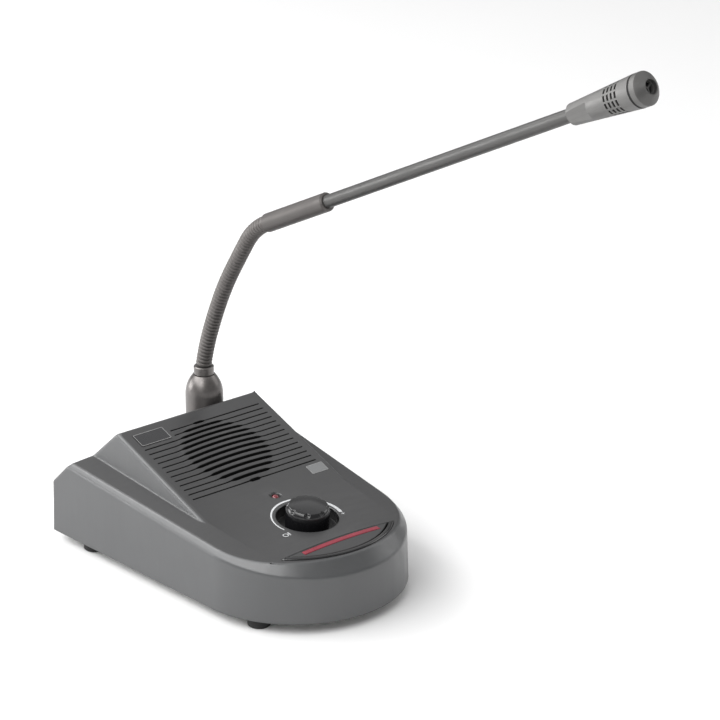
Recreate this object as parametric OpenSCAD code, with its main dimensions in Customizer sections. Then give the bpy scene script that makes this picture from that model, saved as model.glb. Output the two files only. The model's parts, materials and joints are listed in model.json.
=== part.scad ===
// Desk intercom station with a gooseneck microphone.
// Millimetres, +Z up, user in front on the -Y side. The origin is the middle of the base on the table.

/* [Base] */
// Length of the base from the rear wall to the tip of the nose
base_len = 220; // [205:1:240]
// Radius of the round nose at the bottom edge
nose_r = 69; // [66:0.5:74]
// Half of the width of the base at its rear wall
rear_half = 79; // [76:0.5:84]
// Radius of the two upright rear corners
rear_r = 3; // [3:0.5:8]
// Height of the bottom edge of the housing over the table
foot_gap = 7; // [3.5:0.5:8]
// Wall thickness of the moulded housing
wall = 2.5; // [2:0.1:3]
// Draft angle of the side walls
draft = 1.8; // [1:0.1:3]
// Angle at which the rim falls towards the user
rim_tilt = 4.7; // [3:0.1:6]
// Height of the rim over the table, above the centre of the nose
rim_z = 46.2; // [43:0.1:50]
// Inset of the rim from the bottom edge
rim_inset = 4.5; // [3.5:0.5:7]
// Angle of the wide bevel below the rim, measured from upright
bevel_lean = 40; // [30:1:50]
// Height of the crowned deck over the rim
crown_h = 5.2; // [4:0.1:6]
// Angle at which the crowned deck falls towards the user
crown_tilt = 5.3; // [4:0.1:6.5]

/* [Loudspeaker panel] */
// Half of the width of the panel
panel_half = 54.5; // [52:0.5:57]
// Slope of the panel
panel_slope = 18.25; // [16:0.25:20]
// Height of the ridge at the rear of the panel
ridge_z = 79.7; // [77:0.1:83]
// Distance of the ridge in front of the rear wall
ridge_inset = 40.7; // [38:0.1:44]
// Slope of the rear face
rear_slope = 45; // [42:1:48]
// Lean of the two side faces of the panel block
block_lean = 10.7; // [8:0.1:14]
// Rounding of the block's long edges
block_round = 3.5; // [2:0.5:5]
// Number of slots in the grille
slot_count = 14; // [10:1:15]
// Distance between two slots
slot_pitch = 4.7; // [4.2:0.1:4.8]
// Distance of the first slot from the ridge
slot_start = 11.9; // [11:0.1:13]
// Half of the length of the fine grooves
slot_half = 47.9; // [44:0.1:49]
// Width of the fine grooves
groove_w = 0.8; // [0.6:0.1:1]
// Width of the open slots in front of the loudspeaker
slot_w = 2.3; // [1.8:0.1:2.6]
// Radius of the domed grille
dome_r = 32; // [30:0.5:34]
// Height of the grille dome over the panel
dome_h = 2.4; // [1.5:0.1:3]

/* [Controls] */
// Radius of the volume knob
knob_r = 13.6; // [12:0.1:15]
// Height of the knob from its lower edge to its top
knob_h = 16.5; // [14:0.5:18]
// Radius of the well around the knob
well_r = 19.3; // [18.5:0.1:21]
// Depth of the well
well_depth = 8; // [6:0.5:9]
// Distance of the knob in front of the centre of the nose
knob_at = 11; // [10:0.5:12]
// Distance of the status lamp behind the centre of the nose
lamp_at = 20.6; // [19:0.5:22]
// Radius of the lamp
lamp_r = 2.5; // [2:0.1:3]
// Distance of the talk button's straight edge from the centre of the nose
talk_at = 41; // [40:0.5:42]
// Radius of the talk button's round edge
talk_r = 56; // [55:0.5:57]
// Outer radius of the open gap round the talk button
gap_r = 60.2; // [59.5:0.1:60.5]
// Length of the light bar
bar_len = 58; // [50:1:64]
// Width of the light bar
bar_w = 3.6; // [3:0.1:4.5]

/* [Gooseneck] */
// Place of the gooseneck to the right of the middle
neck_x = 27; // [24:0.5:30]
// Distance of the gooseneck in front of the rear wall
neck_inset = 22; // [20:0.5:24]
// Height of the seat of the ferrule
seat_z = 62.5; // [60:0.5:65]
// Angle at which the gooseneck turns away from straight ahead
neck_turn = 5.5; // [0:0.5:12]
// Radius of the ferrule
ferrule_r = 12.2; // [11.5:0.1:13]
// Height of the ferrule with the ring of the collar
ferrule_h = 36; // [34:0.5:40]
// Radius of the collar's ring at the top of the ferrule
ring_r = 6.5; // [6.2:0.1:7]
// Outer radius of the ribbed hose
hose_r = 5.15; // [5:0.05:5.4]
// Length of each of the five stretches of the hose
hose_seg = 25.75; // [24:0.25:28]
// Lean of the hose where it leaves the ferrule
hose_lean = 12; // [6:0.5:14]
// Number of ribs on each stretch
rib_count = 10; // [8:1:10]
// Radius of the sleeve
sleeve_r = 5.95; // [5.7:0.05:6.4]
// Length of the sleeve
sleeve_len = 60; // [50:1:66]
// Radius of the straight tube
tube_r = 4.1; // [3.9:0.05:4.4]
// Free length of the straight tube
tube_len = 216; // [180:1:240]

/* [Capsule] */
// Length of the capsule housing up to the O-ring
capsule_len = 52.5; // [50:0.5:56]
// Radius at the rear of the capsule
capsule_rear_r = 6.4; // [6.2:0.1:6.8]
// Greatest radius of the capsule
capsule_r = 9.8; // [9.4:0.1:10.4]
// Distance between the two wrench flats
flats_w = 11; // [10.5:0.1:12]
// Number of slots in each of the four rows
slots_round = 12; // [8:1:14]
// Length of the front cap
cap_len = 7.5; // [7:0.5:9]
// Radius of the hole in the front cap
cap_hole_r = 4.3; // [4:0.1:4.7]

/* [Hidden] */
$fn = 72;
blend = 0.02;
big = 300;

// Clearances
fit = 0.05;        // running fit between a shaft and its hole
gap = 0.25;        // free gap round a piece that drops into an opening
snug = 0.02;       // gap between a piece and the hole that holds it

// Plan of the base
half_len = base_len / 2;
nose_y = nose_r - half_len;
rear_c = [rear_half - rear_r, half_len - rear_r - nose_y];
side_az = atan2(rear_c.y, rear_c.x) - acos((nose_r - rear_r) / norm(rear_c));
form_h = 95;
corner_least = form_h * tan(draft) + 0.1;
ridge_y = half_len - ridge_inset;
neck_y = half_len - neck_inset;

// Rim and crown, in the tilted frame of the rim
rim_r = nose_r - rim_inset;
crown_r = (rim_r * rim_r + crown_h * crown_h) / (2 * crown_h);

// Panel block and its grille
block_side = tan(block_lean);
dome_sphere_r = (dome_r * dome_r + dome_h * dome_h) / (2 * dome_h);
dome_at = slot_start + slot_pitch * (slot_count - 1) / 2;
open_r = dome_r - 1;
slot_taper = 5;
groove_depth = 0.9;
badge_rows = 2;
badge = [22.4, 11.2, 0.8];
badge_at = [-36.1, -12];
badge_sink = 0.5;

// Base plate, feet and the screws that close the housing
plate_t = 1.5;
plate_z = foot_gap + 0.8;
plate_top = plate_z + plate_t;
foot_r = 7.2;
foot_sink = 0.6;
feet_at = [[-51, nose_y - 28], [51, nose_y - 28], [13 - rear_half, half_len - 29],
           [rear_half - 13, half_len - 29]];
boss_r = 4.5;
bosses_at = [[-40, nose_y - 33], [40, nose_y - 33], [16 - rear_half, half_len - 52],
             [rear_half - 16, half_len - 52]];
screw_r = 1.5;
head_r = 2.9;
head_h = 1.7;
screw_len = 9;

// Circuit board on the base plate
board_t = 1.6;
board_w = 96;
board_rear = half_len - 6;
board_front = board_rear - 84;
standoff_h = 6;
standoff_r = 3;
board_z = plate_top + standoff_h;
board_top = board_z + board_t;
// Capacitors: across, distance from the front edge of the board, radius, height
can_sizes = [[-30, 22, 6.2, 16], [-12, 22, 5, 12], [4, 18, 4, 9], [20, 24, 5, 12]];
board_holes = [for (x = [-1, 1], y = [board_front + 6, board_rear - 8]) [x * (board_w / 2 - 6), y]];

// Rear sockets: distances from the middle
dc_x = -30;
line_x = -16;
unit_x = 4;
socket_y = half_len - wall - 1.2;

// Knob, potentiometer and lamp, in the frame of the deck
well_lip = 1.5;
well_floor = -(well_depth + wall);
knob_low = 1.3 - well_depth;
knob_shoulder = 6;
knob_crown_r = 45;
knob_skirt = 2.4;
knob_hub_r = 5.5;
dimple_count = 9;
dimple_r = 1.5;
shaft_r = 3;
bush_r = 3.5;
pot_r = 8.5;
pot_h = 7.5;
pot_nut_t = 2;
lamp_ring = 0.9;

// Talk button, in the frame of the deck
talk_skirt = 7;
talk_wall = 2;
talk_top = 2.2;
arm_x = 33;
arm_w = 5;
pivot_v = 3 - talk_at;
pivot_z = -7;
pivot_r = 2.5;
arm_reach = 5.5;
pin_r = 1;
lug_t = 2.6;
pin_half = arm_w / 2 + gap + lug_t;
bead_r = talk_r + 1;
bead_proud = 0.8;
bar_at = talk_at + 1.2 + bar_w / 2;
bar_proud = 0.35;
talk_board_z = -14.6;
talk_board = [60, 23];
talk_board_v = -talk_at - 3.5;
post_r = 3;
posts_at = [for (s = [-1, 1]) [22 * s, 4.5 - talk_at]];
travel_room = 1.3;
bar_lamp_r = 1.5;
switch_v = -talk_at - 9;

// Loudspeaker, in the frame of the panel
speaker_r = 34;
cloth_t = 0.3;
gasket_t = 2;
flange_t = 1;
cone_r = 25;
basket_depth = 11;
magnet_r = 14;
magnet_t = 8;
pole_r = 5.5;
coil_r = 6.1;
plate_hole_r = 6.7;
yoke_t = 2;
clip_at = speaker_r + 4.5;
clip_post_r = 3.2;
clip_arm = 7;
cloth_z = -wall - 0.3 - cloth_t;
gasket_z = cloth_z - gasket_t;
flange_z = gasket_z - flange_t;
basket_z = flange_z - basket_depth;
magnet_z = basket_z - 1.2 - magnet_t;

// Seat of the gooseneck
platform_r = ferrule_r + 1.8;
pocket_r = platform_r + 0.6;
seat_t = 4;
stub_r = 6;
stub_len = 10;
washer_r = 10.5;
nut_r = 9.8;
ogive_r = 20.9;
ogive_z = 16.5;
ring_h = 5.6;
ogive_top = ferrule_h - ring_h - 0.1;
ogive_sweep = asin((ogive_top - ogive_z) / ogive_r);
ogive = [for (i = [0 : 12]) [ferrule_r - ogive_r, ogive_z] + ogive_r * dir(i * ogive_sweep / 12)];
collar_r = 4.5;
collar_len = 24;
wire_r = 2.2;

// Ribbed hose. Each stretch is bent by its own angle, from the ferrule up.
bends = [8, 4, 7, 1, 31];
core_r = 4;
rib_r = hose_r - core_r;
end_rib_r = 1;
rib_start = 1.475;
rib_step = (hose_seg - 2 * rib_start) / (rib_count - 1);
ball_r = 3.4;
socket_r = ball_r + fit;
core_start = 0.85;
core_stop = 0.5;
neck_gap = 1;
neck_z = seat_z + ferrule_h + neck_gap;

// Boom, measured along its own axis from the last joint of the hose
tube_in = 30;
tube_wall = 0.8;
capsule_z = sleeve_len + tube_len;

// Capsule, measured along its axis from its rear end
capsule_bore = 7;
capsule_socket = 12;
flats_len = 17.8;
flats_roll = 11;
row_pitch = 3.1;
row_start = capsule_len - 20.1;
row_w = 1.6;
row_bar = 1.1;
o_ring_r = 0.8;
cap_z = capsule_len + 2 * o_ring_r;
cap_edge = 3.6;
cap_lip = 0.7;
cap_wall = 1.6;
spigot_len = 5;
gauze_t = 0.3;
element_r = 4.85;
element_h = 5;

// Plan direction at an angle from +X
function dir(a) = [cos(a), sin(a)];

// ---- Forms of the base, each one inset by t for the inside of the wall ----

// Everything on the inner side of a leaning face. The face lies a hair inside the
// round form that it runs into, so that the two cross along a clean line.
module half_space(az, r, lean)
    rotate([0, 0, az]) translate([r - blend, 0, 0]) rotate([0, -lean, 0])
        translate([-2 * big, -big, -big]) cube(2 * big);

module cone(r, lean, low, high)
    translate([0, 0, low])
        cylinder(h = high - low, r1 = r - low * tan(lean), r2 = r - high * tan(lean));

// Round nose whose two sides run on to the rear
module nose_form(r, lean, low, high)
    intersection() {
        union() {
            cone(r, lean, low, high);
            translate([0, 0, low]) linear_extrude(high - low)
                polygon([[0, 0], big * dir(side_az), [big, big], [-big, big], big * dir(180 - side_az)]);
        }
        half_space(side_az, r, lean);
        half_space(180 - side_az, r, lean);
    }

// Upright walls with draft, round at the nose and at the rear corners
module walls(t)
    translate([0, nose_y, 0]) intersection() {
        nose_form(nose_r - t, draft, 0, form_h);
        translate([0, rear_c.y, 0]) half_space(90, rear_r - t, draft);
        union() {
            translate([-big, -big, -1]) cube([2 * big, big + rear_c.y, form_h + 2]);
            translate([-rear_c.x, 0, -1]) cube([2 * rear_c.x, big, form_h + 2]);
            for (s = [-1, 1]) translate([s * rear_c.x, rear_c.y, 0])
                cone(max(rear_r - t, corner_least), draft, 0, form_h);
        }
    }

module on_rim() translate([0, nose_y, rim_z]) rotate([rim_tilt, 0, 0]) children();

// Wide bevel that leads from the walls up to the rim
module bevel(t)
    on_rim() nose_form(rim_r - t / cos(bevel_lean), bevel_lean, -form_h, crown_h + 2);

// Crowned top of the deck, curved across and straight towards the user
module crown(t)
    translate([0, nose_y, rim_z + crown_h]) rotate([crown_tilt, 0, 0]) translate([0, 0, -crown_r])
        rotate([90, 0, 0]) cylinder(r = crown_r - t, h = 2 * big, center = true, $fn = 360);

module on_panel() translate([0, ridge_y, ridge_z]) rotate([panel_slope, 0, 0]) children();

// Section across the panel block: a trapezium with two round upper corners
module block_section(t) {
    half = panel_half - t / cos(block_lean) + t * block_side;
    r = max(block_round - t, 0.3);
    cx = half - r * (1 - sin(block_lean)) / cos(block_lean);
    depth = 60;
    n = r * dir(block_lean);
    polygon([[-cx, 0], [cx, 0], [cx, -r], [cx, -r] + n, [half + depth * block_side, -depth],
             [-half - depth * block_side, -depth], [-cx, -r] + [-n.x, n.y], [-cx, -r]]);
    for (s = [-1, 1]) translate([s * cx, -r]) circle(r);
}

// Side outline of the block in the YZ plane: panel, round ridge and rear slope
module ridge_section(t) {
    r = max(block_round - t, 0.3);
    turn = (rear_slope + panel_slope) / 2;
    mid = (rear_slope - panel_slope) / 2;
    c = [ridge_y, ridge_z] + block_round / cos(turn) * -1 * [sin(mid), cos(mid)];
    n1 = [-sin(panel_slope), cos(panel_slope)];
    n2 = [sin(rear_slope), cos(rear_slope)];
    polygon([c, c + r * n1, c + r * n1 - big * [cos(panel_slope), sin(panel_slope)],
             [-big, -big], [big, -big], c + r * n2 + big * [cos(rear_slope), -sin(rear_slope)],
             c + r * n2]);
    translate(c) circle(r);
}

module ridge_profile(t)
    translate([-big / 2, 0, 0]) rotate([90, 0, 90]) linear_extrude(big) ridge_section(t);

module block(t)
    intersection() {
        on_panel() translate([0, big / 2, -t]) rotate([90, 0, 0]) linear_extrude(big) block_section(t);
        ridge_profile(t);
    }

// Everything in front of and below the sloping rear face
module below_rear_slope(t) {
    n = [0, sin(rear_slope), cos(rear_slope)];
    translate([0, ridge_y, ridge_z] - t * n) rotate([-rear_slope, 0, 0])
        translate([-big, -big, -2 * big]) cube(2 * big);
}

// Low dome of the grille, a cap of a large sphere
module dome(t)
    on_panel() translate([0, -dome_at, 0]) intersection() {
        translate([0, 0, dome_h - dome_sphere_r]) rotate([90, 0, 0])
            sphere(r = dome_sphere_r - t, $fn = 90);
        translate([0, 0, -2 * wall]) cylinder(r = dome_r + 2 * wall, h = 4 * wall);
    }

// Whole moulded form of the base, without its openings
module base_form(t = 0, bottom = foot_gap)
    intersection() {
        walls(t);
        union() {
            intersection() {
                bevel(t);
                crown(t);
                below_rear_slope(t);
            }
            block(t);
            dome(t);
        }
        translate([-big / 2, -big / 2, bottom]) cube(big);
    }

module on_deck() translate([0, nose_y, rim_z + crown_h]) rotate([crown_tilt, 0, 0]) children();

module at_knob() on_deck() translate([0, -knob_at, 0]) children();

module at_lamp() on_deck() translate([0, lamp_at, 0]) children();

module at_dome() on_panel() translate([0, -dome_at, 0]) children();

module at_each(places) for (p = places) translate(p) children();

// Round bar from one height to another
module post(r, low, high) translate([0, 0, low]) cylinder(r = r, h = high - low);

// Round bar with a bore
module pipe(r, bore, low, high)
    difference() {
        post(r, low, high);
        post(bore, low - 1, high + 1);
    }

// ---- Housing ----

// Segment of a disc in front of a chord, in the frame of the deck
module crescent(r, chord, low, high)
    intersection() {
        post(r, low, high);
        translate([-big, -2 * big - chord, low - 1]) cube([2 * big, 2 * big, high - low + 2]);
    }

// Slot through the grille with pointed ends, half as long as the dome allows at its row
module open_slot(half)
    translate([0, 0, -2 * wall]) linear_extrude(6 * wall)
        polygon([for (s = [[-1, 0], [-1, -1], [1, -1], [1, 0], [1, 1], [-1, 1]])
                 [s.x * (half - (s.y == 0 ? 0 : min(slot_taper, half / 2))), s.y * slot_w / 2]]);

module grille_slots()
    for (i = [0 : slot_count - 1]) {
        row = (i - (slot_count - 1) / 2) * slot_pitch;
        left = i < badge_rows ? badge_at.x + badge.x / 2 + 3 : -slot_half;
        translate([0, -row, 0]) {
            translate([left, -groove_w / 2, -groove_depth]) cube([slot_half - left, groove_w, 6]);
            if (abs(row) < open_r) open_slot(sqrt(open_r * open_r - row * row));
        }
    }

// Rounded well round the knob
module well_cut()
    rotate_extrude() difference() {
        union() {
            translate([0, 0.4 - well_lip]) square([well_r + well_lip, well_lip + 4]);
            translate([0, -well_depth]) square([well_r, well_depth]);
        }
        translate([well_r + well_lip, 0.4 - well_lip]) circle(well_lip);
    }

module talk_lugs()
    for (s = [-1, 1], side = [-1, 1])
        translate([s * arm_x + side * (arm_w / 2 + gap + lug_t / 2) - lug_t / 2, pivot_v - pivot_r,
                   pivot_z - pivot_r])
            cube([lug_t, 2 * pivot_r, -pivot_z + pivot_r - wall / 2]);

// Hollow of the housing, which leaves the posts, cups and lugs standing
module cavity()
    difference() {
        base_form(wall, -1);
        for (p = bosses_at) translate(p) post(boss_r, plate_top, big);
        at_knob() post(well_r + wall, well_floor, big);
        translate([neck_x, neck_y, 0]) post(pocket_r + wall, seat_z - seat_t, big);
        on_deck() talk_lugs();
        on_deck() at_each(posts_at) post(post_r, talk_board_z + board_t, big);
        at_dome() for (a = [45 : 90 : 315]) rotate([0, 0, a]) translate([clip_at, 0, 0])
            post(clip_post_r, flange_z, big);
    }

module socket_holes()
    for (h = [[dc_x, 4.2], [line_x, 3.4], [unit_x, 6.5]])
        translate([h.x, half_len + 5, board_top + socket_rise(h.y)])
            rotate([90, 0, 0]) cylinder(r = h.y, h = 5 + wall + 2);

function socket_rise(r) = r + 2.4;

module top_housing()
    color("dimgray")
    difference() {
        union() {
            base_form();
            translate([neck_x, neck_y, 0]) post(platform_r, seat_z - ferrule_h / 2, seat_z);
        }
        cavity();
        translate([neck_x, neck_y, 0]) {
            post(platform_r - wall, 0, seat_z - seat_t);
            post(stub_r + gap, 0, big);
            post(pocket_r, seat_z, big);
        }
        at_knob() {
            well_cut();
            post(bush_r + fit, -big / 10, 0);
        }
        at_lamp() post(lamp_r + lamp_ring, -2 * wall, wall);
        on_deck() {
            crescent(gap_r, talk_at, pivot_z - pivot_r - 1, wall + 2);
            for (s = [-1, 1]) translate([s * arm_x, pivot_v, pivot_z]) rotate([0, 90, 0])
                post(pin_r + snug, -pin_half - 1, pin_half + 1);
            at_each(posts_at) post(1.2, -big / 10, -2 * wall);
        }
        at_dome() {
            grille_slots();
            for (a = [45 : 90 : 315]) rotate([0, 0, a]) translate([clip_at, 0, 0])
                post(1.2, -big / 10, flange_z + 5);
        }
        on_panel() translate([badge_at.x, badge_at.y, 0])
            translate([-badge.x / 2 - 0.1, -badge.y / 2 - 0.1, -badge_sink])
                cube([badge.x + 0.2, badge.y + 0.2, 5]);
        for (p = bosses_at) translate(p) post(screw_r + snug, 0, plate_top + screw_len + 1);
        socket_holes();
    }

module base_plate()
    color("lightgray")
    difference() {
        union() {
            intersection() {
                walls(wall + gap);
                translate([-big / 2, -big / 2, plate_z]) cube([big, big, plate_t]);
            }
            at_each(board_holes) post(standoff_r, plate_top - 0.5, board_z);
        }
        for (p = bosses_at) translate(p) post(screw_r + gap, 0, plate_top + 1);
        at_each(board_holes) post(1.2, 0, board_z + 1);
    }

// Glued rubber foot with a hollow sole
module foot()
    rotate_extrude() polygon([[0, 1], [3.5, 1], [4, 0], [foot_r - 0.8, 0], [foot_r, 0.8],
                              [foot_r - foot_sink, plate_z], [0, plate_z]]);

module feet()
    color("black") at_each(feet_at) foot();

// Pan-head screw that points up from the height z
module screw(z, r, head, rise, len)
    translate([0, 0, z]) {
        difference() {
            post(head, -rise, 0);
            for (a = [0, 90]) rotate([0, 0, a]) translate([-head * 0.6, -0.4, -rise - 1])
                cube([head * 1.2, 0.8, 1 + rise / 2]);
        }
        post(r, -rise / 4, len);
    }

module housing_screws()
    color("silver") at_each(bosses_at) screw(plate_z, screw_r, head_r, head_h, plate_t + screw_len);

module badge_plate()
    color("black")
    on_panel() translate([badge_at.x - badge.x / 2, badge_at.y - badge.y / 2, -badge_sink])
        cube(badge);

// ---- Loudspeaker ----

module grille_cloth()
    color("black") at_dome() post(speaker_r - 1, cloth_z, cloth_z + cloth_t);

module speaker_gasket()
    color("dimgray") at_dome() pipe(speaker_r - 0.5, cone_r + 3, gasket_z, cloth_z);

// Pressed steel basket with four windows
module speaker_frame()
    color("silver")
    at_dome() difference() {
        rotate_extrude()
            polygon([[cone_r + 2, gasket_z], [speaker_r, gasket_z], [speaker_r, flange_z],
                     [cone_r + 4, flange_z], [magnet_r + 2, basket_z], [magnet_r + 2, basket_z - 1.2],
                     [plate_hole_r, basket_z - 1.2], [plate_hole_r, basket_z], [magnet_r + 1, basket_z],
                     [cone_r + 2.8, flange_z - 0.6], [cone_r + 2, flange_z - 0.6]]);
        for (a = [0 : 90 : 270]) rotate([0, 0, a]) translate([magnet_r + 3, -8, basket_z + 1.5])
            cube([cone_r - magnet_r, 16, basket_depth - 4]);
    }

module speaker_magnet()
    color("dimgray") at_dome() pipe(magnet_r, plate_hole_r + 0.5, magnet_z, magnet_z + magnet_t);

module speaker_yoke()
    color("silver")
    at_dome() {
        post(magnet_r - 0.8, magnet_z - yoke_t, magnet_z);
        post(pole_r, magnet_z - yoke_t / 2, basket_z);
    }

// Paper cone with its rolled edge
module speaker_cone()
    color("black")
    at_dome() rotate_extrude() {
        polygon([[coil_r + 0.4, basket_z + 3], [coil_r + 1, basket_z + 3], [cone_r - 2, flange_z - 1.2],
                 [cone_r + 1.7, flange_z - 1.2], [cone_r + 1.7, flange_z - 0.6],
                 [cone_r - 2.4, flange_z - 0.6], [coil_r + 0.4, basket_z + 4]]);
    }

module speaker_coil()
    color("peru") at_dome() pipe(coil_r + 0.35, coil_r, basket_z - 3.5, basket_z + 4);

module dust_cap()
    color("black")
    at_dome() translate([0, 0, basket_z + 4.1]) intersection() {
        translate([0, 0, 2.4 - 12]) difference() {
            sphere(12);
            sphere(11.5);
        }
        post(coil_r + 0.4, 0, 4);
    }

// Sheet-metal clips and their screws, which hold the loudspeaker's edge
module speaker_clips()
    color("silver")
    at_dome() for (a = [45 : 90 : 315]) rotate([0, 0, a]) translate([clip_at, 0, 0]) {
        translate([-clip_arm, -3, flange_z - 0.8]) cube([clip_arm + 3, 6, 0.8]);
        post(2.4, flange_z - 2.2, flange_z - 0.4);
        post(1.18, flange_z - 1, flange_z + 4.5);
    }

// ---- Circuit board and sockets ----

module main_board()
    color("darkgreen")
    difference() {
        translate([-board_w / 2, board_front, board_z])
            cube([board_w, board_rear - board_front, board_t]);
        at_each(board_holes) post(1.4, 0, board_top + 1);
    }

module board_screws()
    color("silver")
    at_each(board_holes) translate([0, 0, board_top]) {
        post(2.5, 0, 1.6);
        post(1.18, -board_t - 4, 0.5);
    }

module capacitors()
    color("midnightblue")
    for (c = can_sizes) translate([c.x, board_front + c.y, 0]) post(c[2], board_top, board_top + c[3]);

// Power amplifier with its cooling plate
module amplifier_chip()
    color("dimgray")
    translate([0, board_front + 44, board_top]) {
        translate([-10, 0, 0]) cube([20, 4.5, 11]);
        translate([-16, 4, 0]) cube([32, 2, 20]);
    }

// Socket whose barrel looks out of the rear wall
module rear_socket(x, barrel, bore, w, depth)
    translate([x, 0, board_top])
        difference() {
            union() {
                translate([-w / 2, socket_y - depth, 0])
                    cube([w, depth - 1, 2 * socket_rise(barrel) - 3]);
                translate([0, socket_y - 2, socket_rise(barrel)]) rotate([-90, 0, 0])
                    post(barrel - gap, 0, 2 + wall / 2);
            }
            translate([0, socket_y + wall, socket_rise(barrel)]) rotate([90, 0, 0])
                post(bore, 0, depth - 2);
        }

module dc_jack()
    color("black") {
        rear_socket(dc_x, 4.2, 3.1, 9.4, 13);
        translate([dc_x, socket_y + 1 - 9, board_top + socket_rise(4.2)]) rotate([-90, 0, 0])
            post(1, -3, 8);
    }

module line_jack()
    color("black") rear_socket(line_x, 3.4, 1.8, 8, 13);

module unit_socket()
    color("dimgray") {
        rear_socket(unit_x, 6.5, 5.2, 15, 12);
        translate([unit_x, socket_y + 1 - 9, board_top + socket_rise(6.5)]) rotate([-90, 0, 0])
            for (a = [0 : 60 : 300]) rotate([0, 0, a]) translate([3, 0, 0]) post(0.5, -2, 7.5);
    }

// ---- Volume knob ----

module pot_body()
    color("silver")
    at_knob() difference() {
        union() {
            post(pot_r, well_floor - pot_h, well_floor);
            post(bush_r, well_floor - 1, well_floor + wall + pot_nut_t + 0.6);
            translate([-6, -pot_r - 4, well_floor - pot_h]) cube([12, 8, 1.2]);
        }
        post(shaft_r + fit, well_floor - pot_h + 1.5, big);
    }

module pot_nut()
    color("silver")
    at_knob() difference() {
        translate([0, 0, -well_depth]) cylinder(r = 6.3, h = pot_nut_t, $fn = 6);
        post(bush_r + snug, -2 * well_depth, 0);
    }

module pot_shaft()
    color("silver")
    at_knob() post(shaft_r, well_floor - pot_h + 1.5 + fit, knob_low + knob_h - 4.5);

// Knob with a round shoulder, a ring of dimples and a hollow underside
module volume_knob()
    color("black")
    at_knob() translate([0, 0, knob_low]) difference() {
        intersection() {
            rotate_extrude() {
                square([knob_r, knob_h - knob_shoulder]);
                square([knob_r - knob_shoulder, knob_h]);
                translate([knob_r - knob_shoulder, knob_h - knob_shoulder]) circle(knob_shoulder);
            }
            translate([0, 0, knob_h - knob_crown_r - 0.3]) sphere(knob_crown_r, $fn = 120);
        }
        difference() {
            post(knob_r - knob_skirt, -1, knob_h - 2 * knob_shoulder + 4);
            post(knob_hub_r, 2.2, knob_h);
        }
        post(shaft_r + snug, -1, knob_h - 4.3);
        for (i = [0 : dimple_count - 1]) rotate([0, 0, (i + 0.5) * 360 / dimple_count])
            translate([knob_r - knob_shoulder, 0, knob_h - knob_shoulder])
                rotate([0, 48, 0]) translate([0, 0, knob_shoulder + 0.5]) sphere(dimple_r);
    }

module status_led()
    color("firebrick")
    at_lamp() rotate_extrude()
        polygon(concat([[0, -8], [lamp_r + 0.4, -8], [lamp_r + 0.4, -7], [lamp_r, -7]],
                       [for (a = [0 : 15 : 90]) [lamp_r * cos(a), lamp_r * sin(a) - lamp_r + 0.2]]));

module led_holder()
    color("black")
    at_lamp() difference() {
        union() {
            post(lamp_r + lamp_ring - gap / 4, -6, -0.7);
            post(lamp_r + lamp_ring + 1.2, -wall - 1.4, -wall - 0.1);
        }
        post(lamp_r + fit, -7, 1);
    }

// ---- Talk button ----

module talk_button()
    color("dimgray")
    difference() {
        union() {
            intersection() {
                on_deck() crescent(talk_r, talk_at + gap, -talk_skirt, wall);
                crown(0);
            }
            on_deck() for (s = [-1, 1]) translate([s * arm_x, pivot_v, pivot_z]) rotate([0, 90, 0]) {
                post(pivot_r, -arm_w / 2, arm_w / 2);
                translate([-pivot_r + 0.6, -arm_reach, -arm_w / 2]) cube([2 * pivot_r - 0.7, arm_reach, arm_w]);
            }
        }
        intersection() {
            on_deck() difference() {
                crescent(talk_r - talk_wall, talk_at + gap + talk_wall, -talk_skirt - 5, wall);
                translate([0, switch_v, 0]) post(2.5, -talk_skirt, wall);
            }
            crown(talk_top);
        }
        on_deck() {
            for (s = [-1, 1]) translate([s * arm_x, pivot_v, pivot_z]) rotate([0, 90, 0])
                post(pin_r + fit, -arm_w, arm_w);
            translate([-bar_len / 2, -bar_at - bar_w / 2, -2 * wall]) cube([bar_len, bar_w, 4 * wall]);
        }
    }

module light_bar()
    color("crimson")
    difference() {
        intersection() {
            on_deck() translate([-bar_len / 2 + snug, -bar_at - bar_w / 2 + snug, -2 * wall])
                cube([bar_len - 2 * snug, bar_w - 2 * snug, 4 * wall]);
            crown(-bar_proud);
        }
        crown(talk_top + 0.6);
    }

// Glossy black bead that fills the gap in front of the button
module talk_frame()
    color("black")
    intersection() {
        on_deck() difference() {
            crescent(gap_r - gap, talk_at + gap, talk_board_z + board_t, wall);
            post(bead_r, -big / 10, big / 10);
        }
        crown(-bead_proud);
    }

module talk_hinge_pins()
    color("silver")
    on_deck() for (s = [-1, 1]) translate([s * arm_x, pivot_v, pivot_z]) rotate([0, 90, 0])
        post(pin_r, -pin_half, pin_half);

module talk_board()
    color("darkgreen")
    on_deck() difference() {
        translate([-talk_board.x / 2, talk_board_v - talk_board.y / 2, talk_board_z])
            cube([talk_board.x, talk_board.y, board_t]);
        at_each(posts_at) post(1.4, -big / 10, 0);
    }

module talk_switch()
    color("dimgray")
    on_deck() translate([0, switch_v, talk_board_z + board_t]) {
        translate([-6, -6, 0]) cube([12, 12, 3.4]);
        post(1.8, 3, -talk_skirt - travel_room - talk_board_z - board_t);
    }

module bar_lamps()
    color("red")
    on_deck() for (x = [-1, 1]) translate([x * bar_len / 4, -bar_at, talk_board_z + board_t])
        post(bar_lamp_r, 0, -talk_skirt - travel_room - talk_board_z - board_t);

// ---- Ferrule and gooseneck ----

module at_neck() translate([neck_x, neck_y, 0]) rotate([0, 0, neck_turn]) children();

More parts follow.
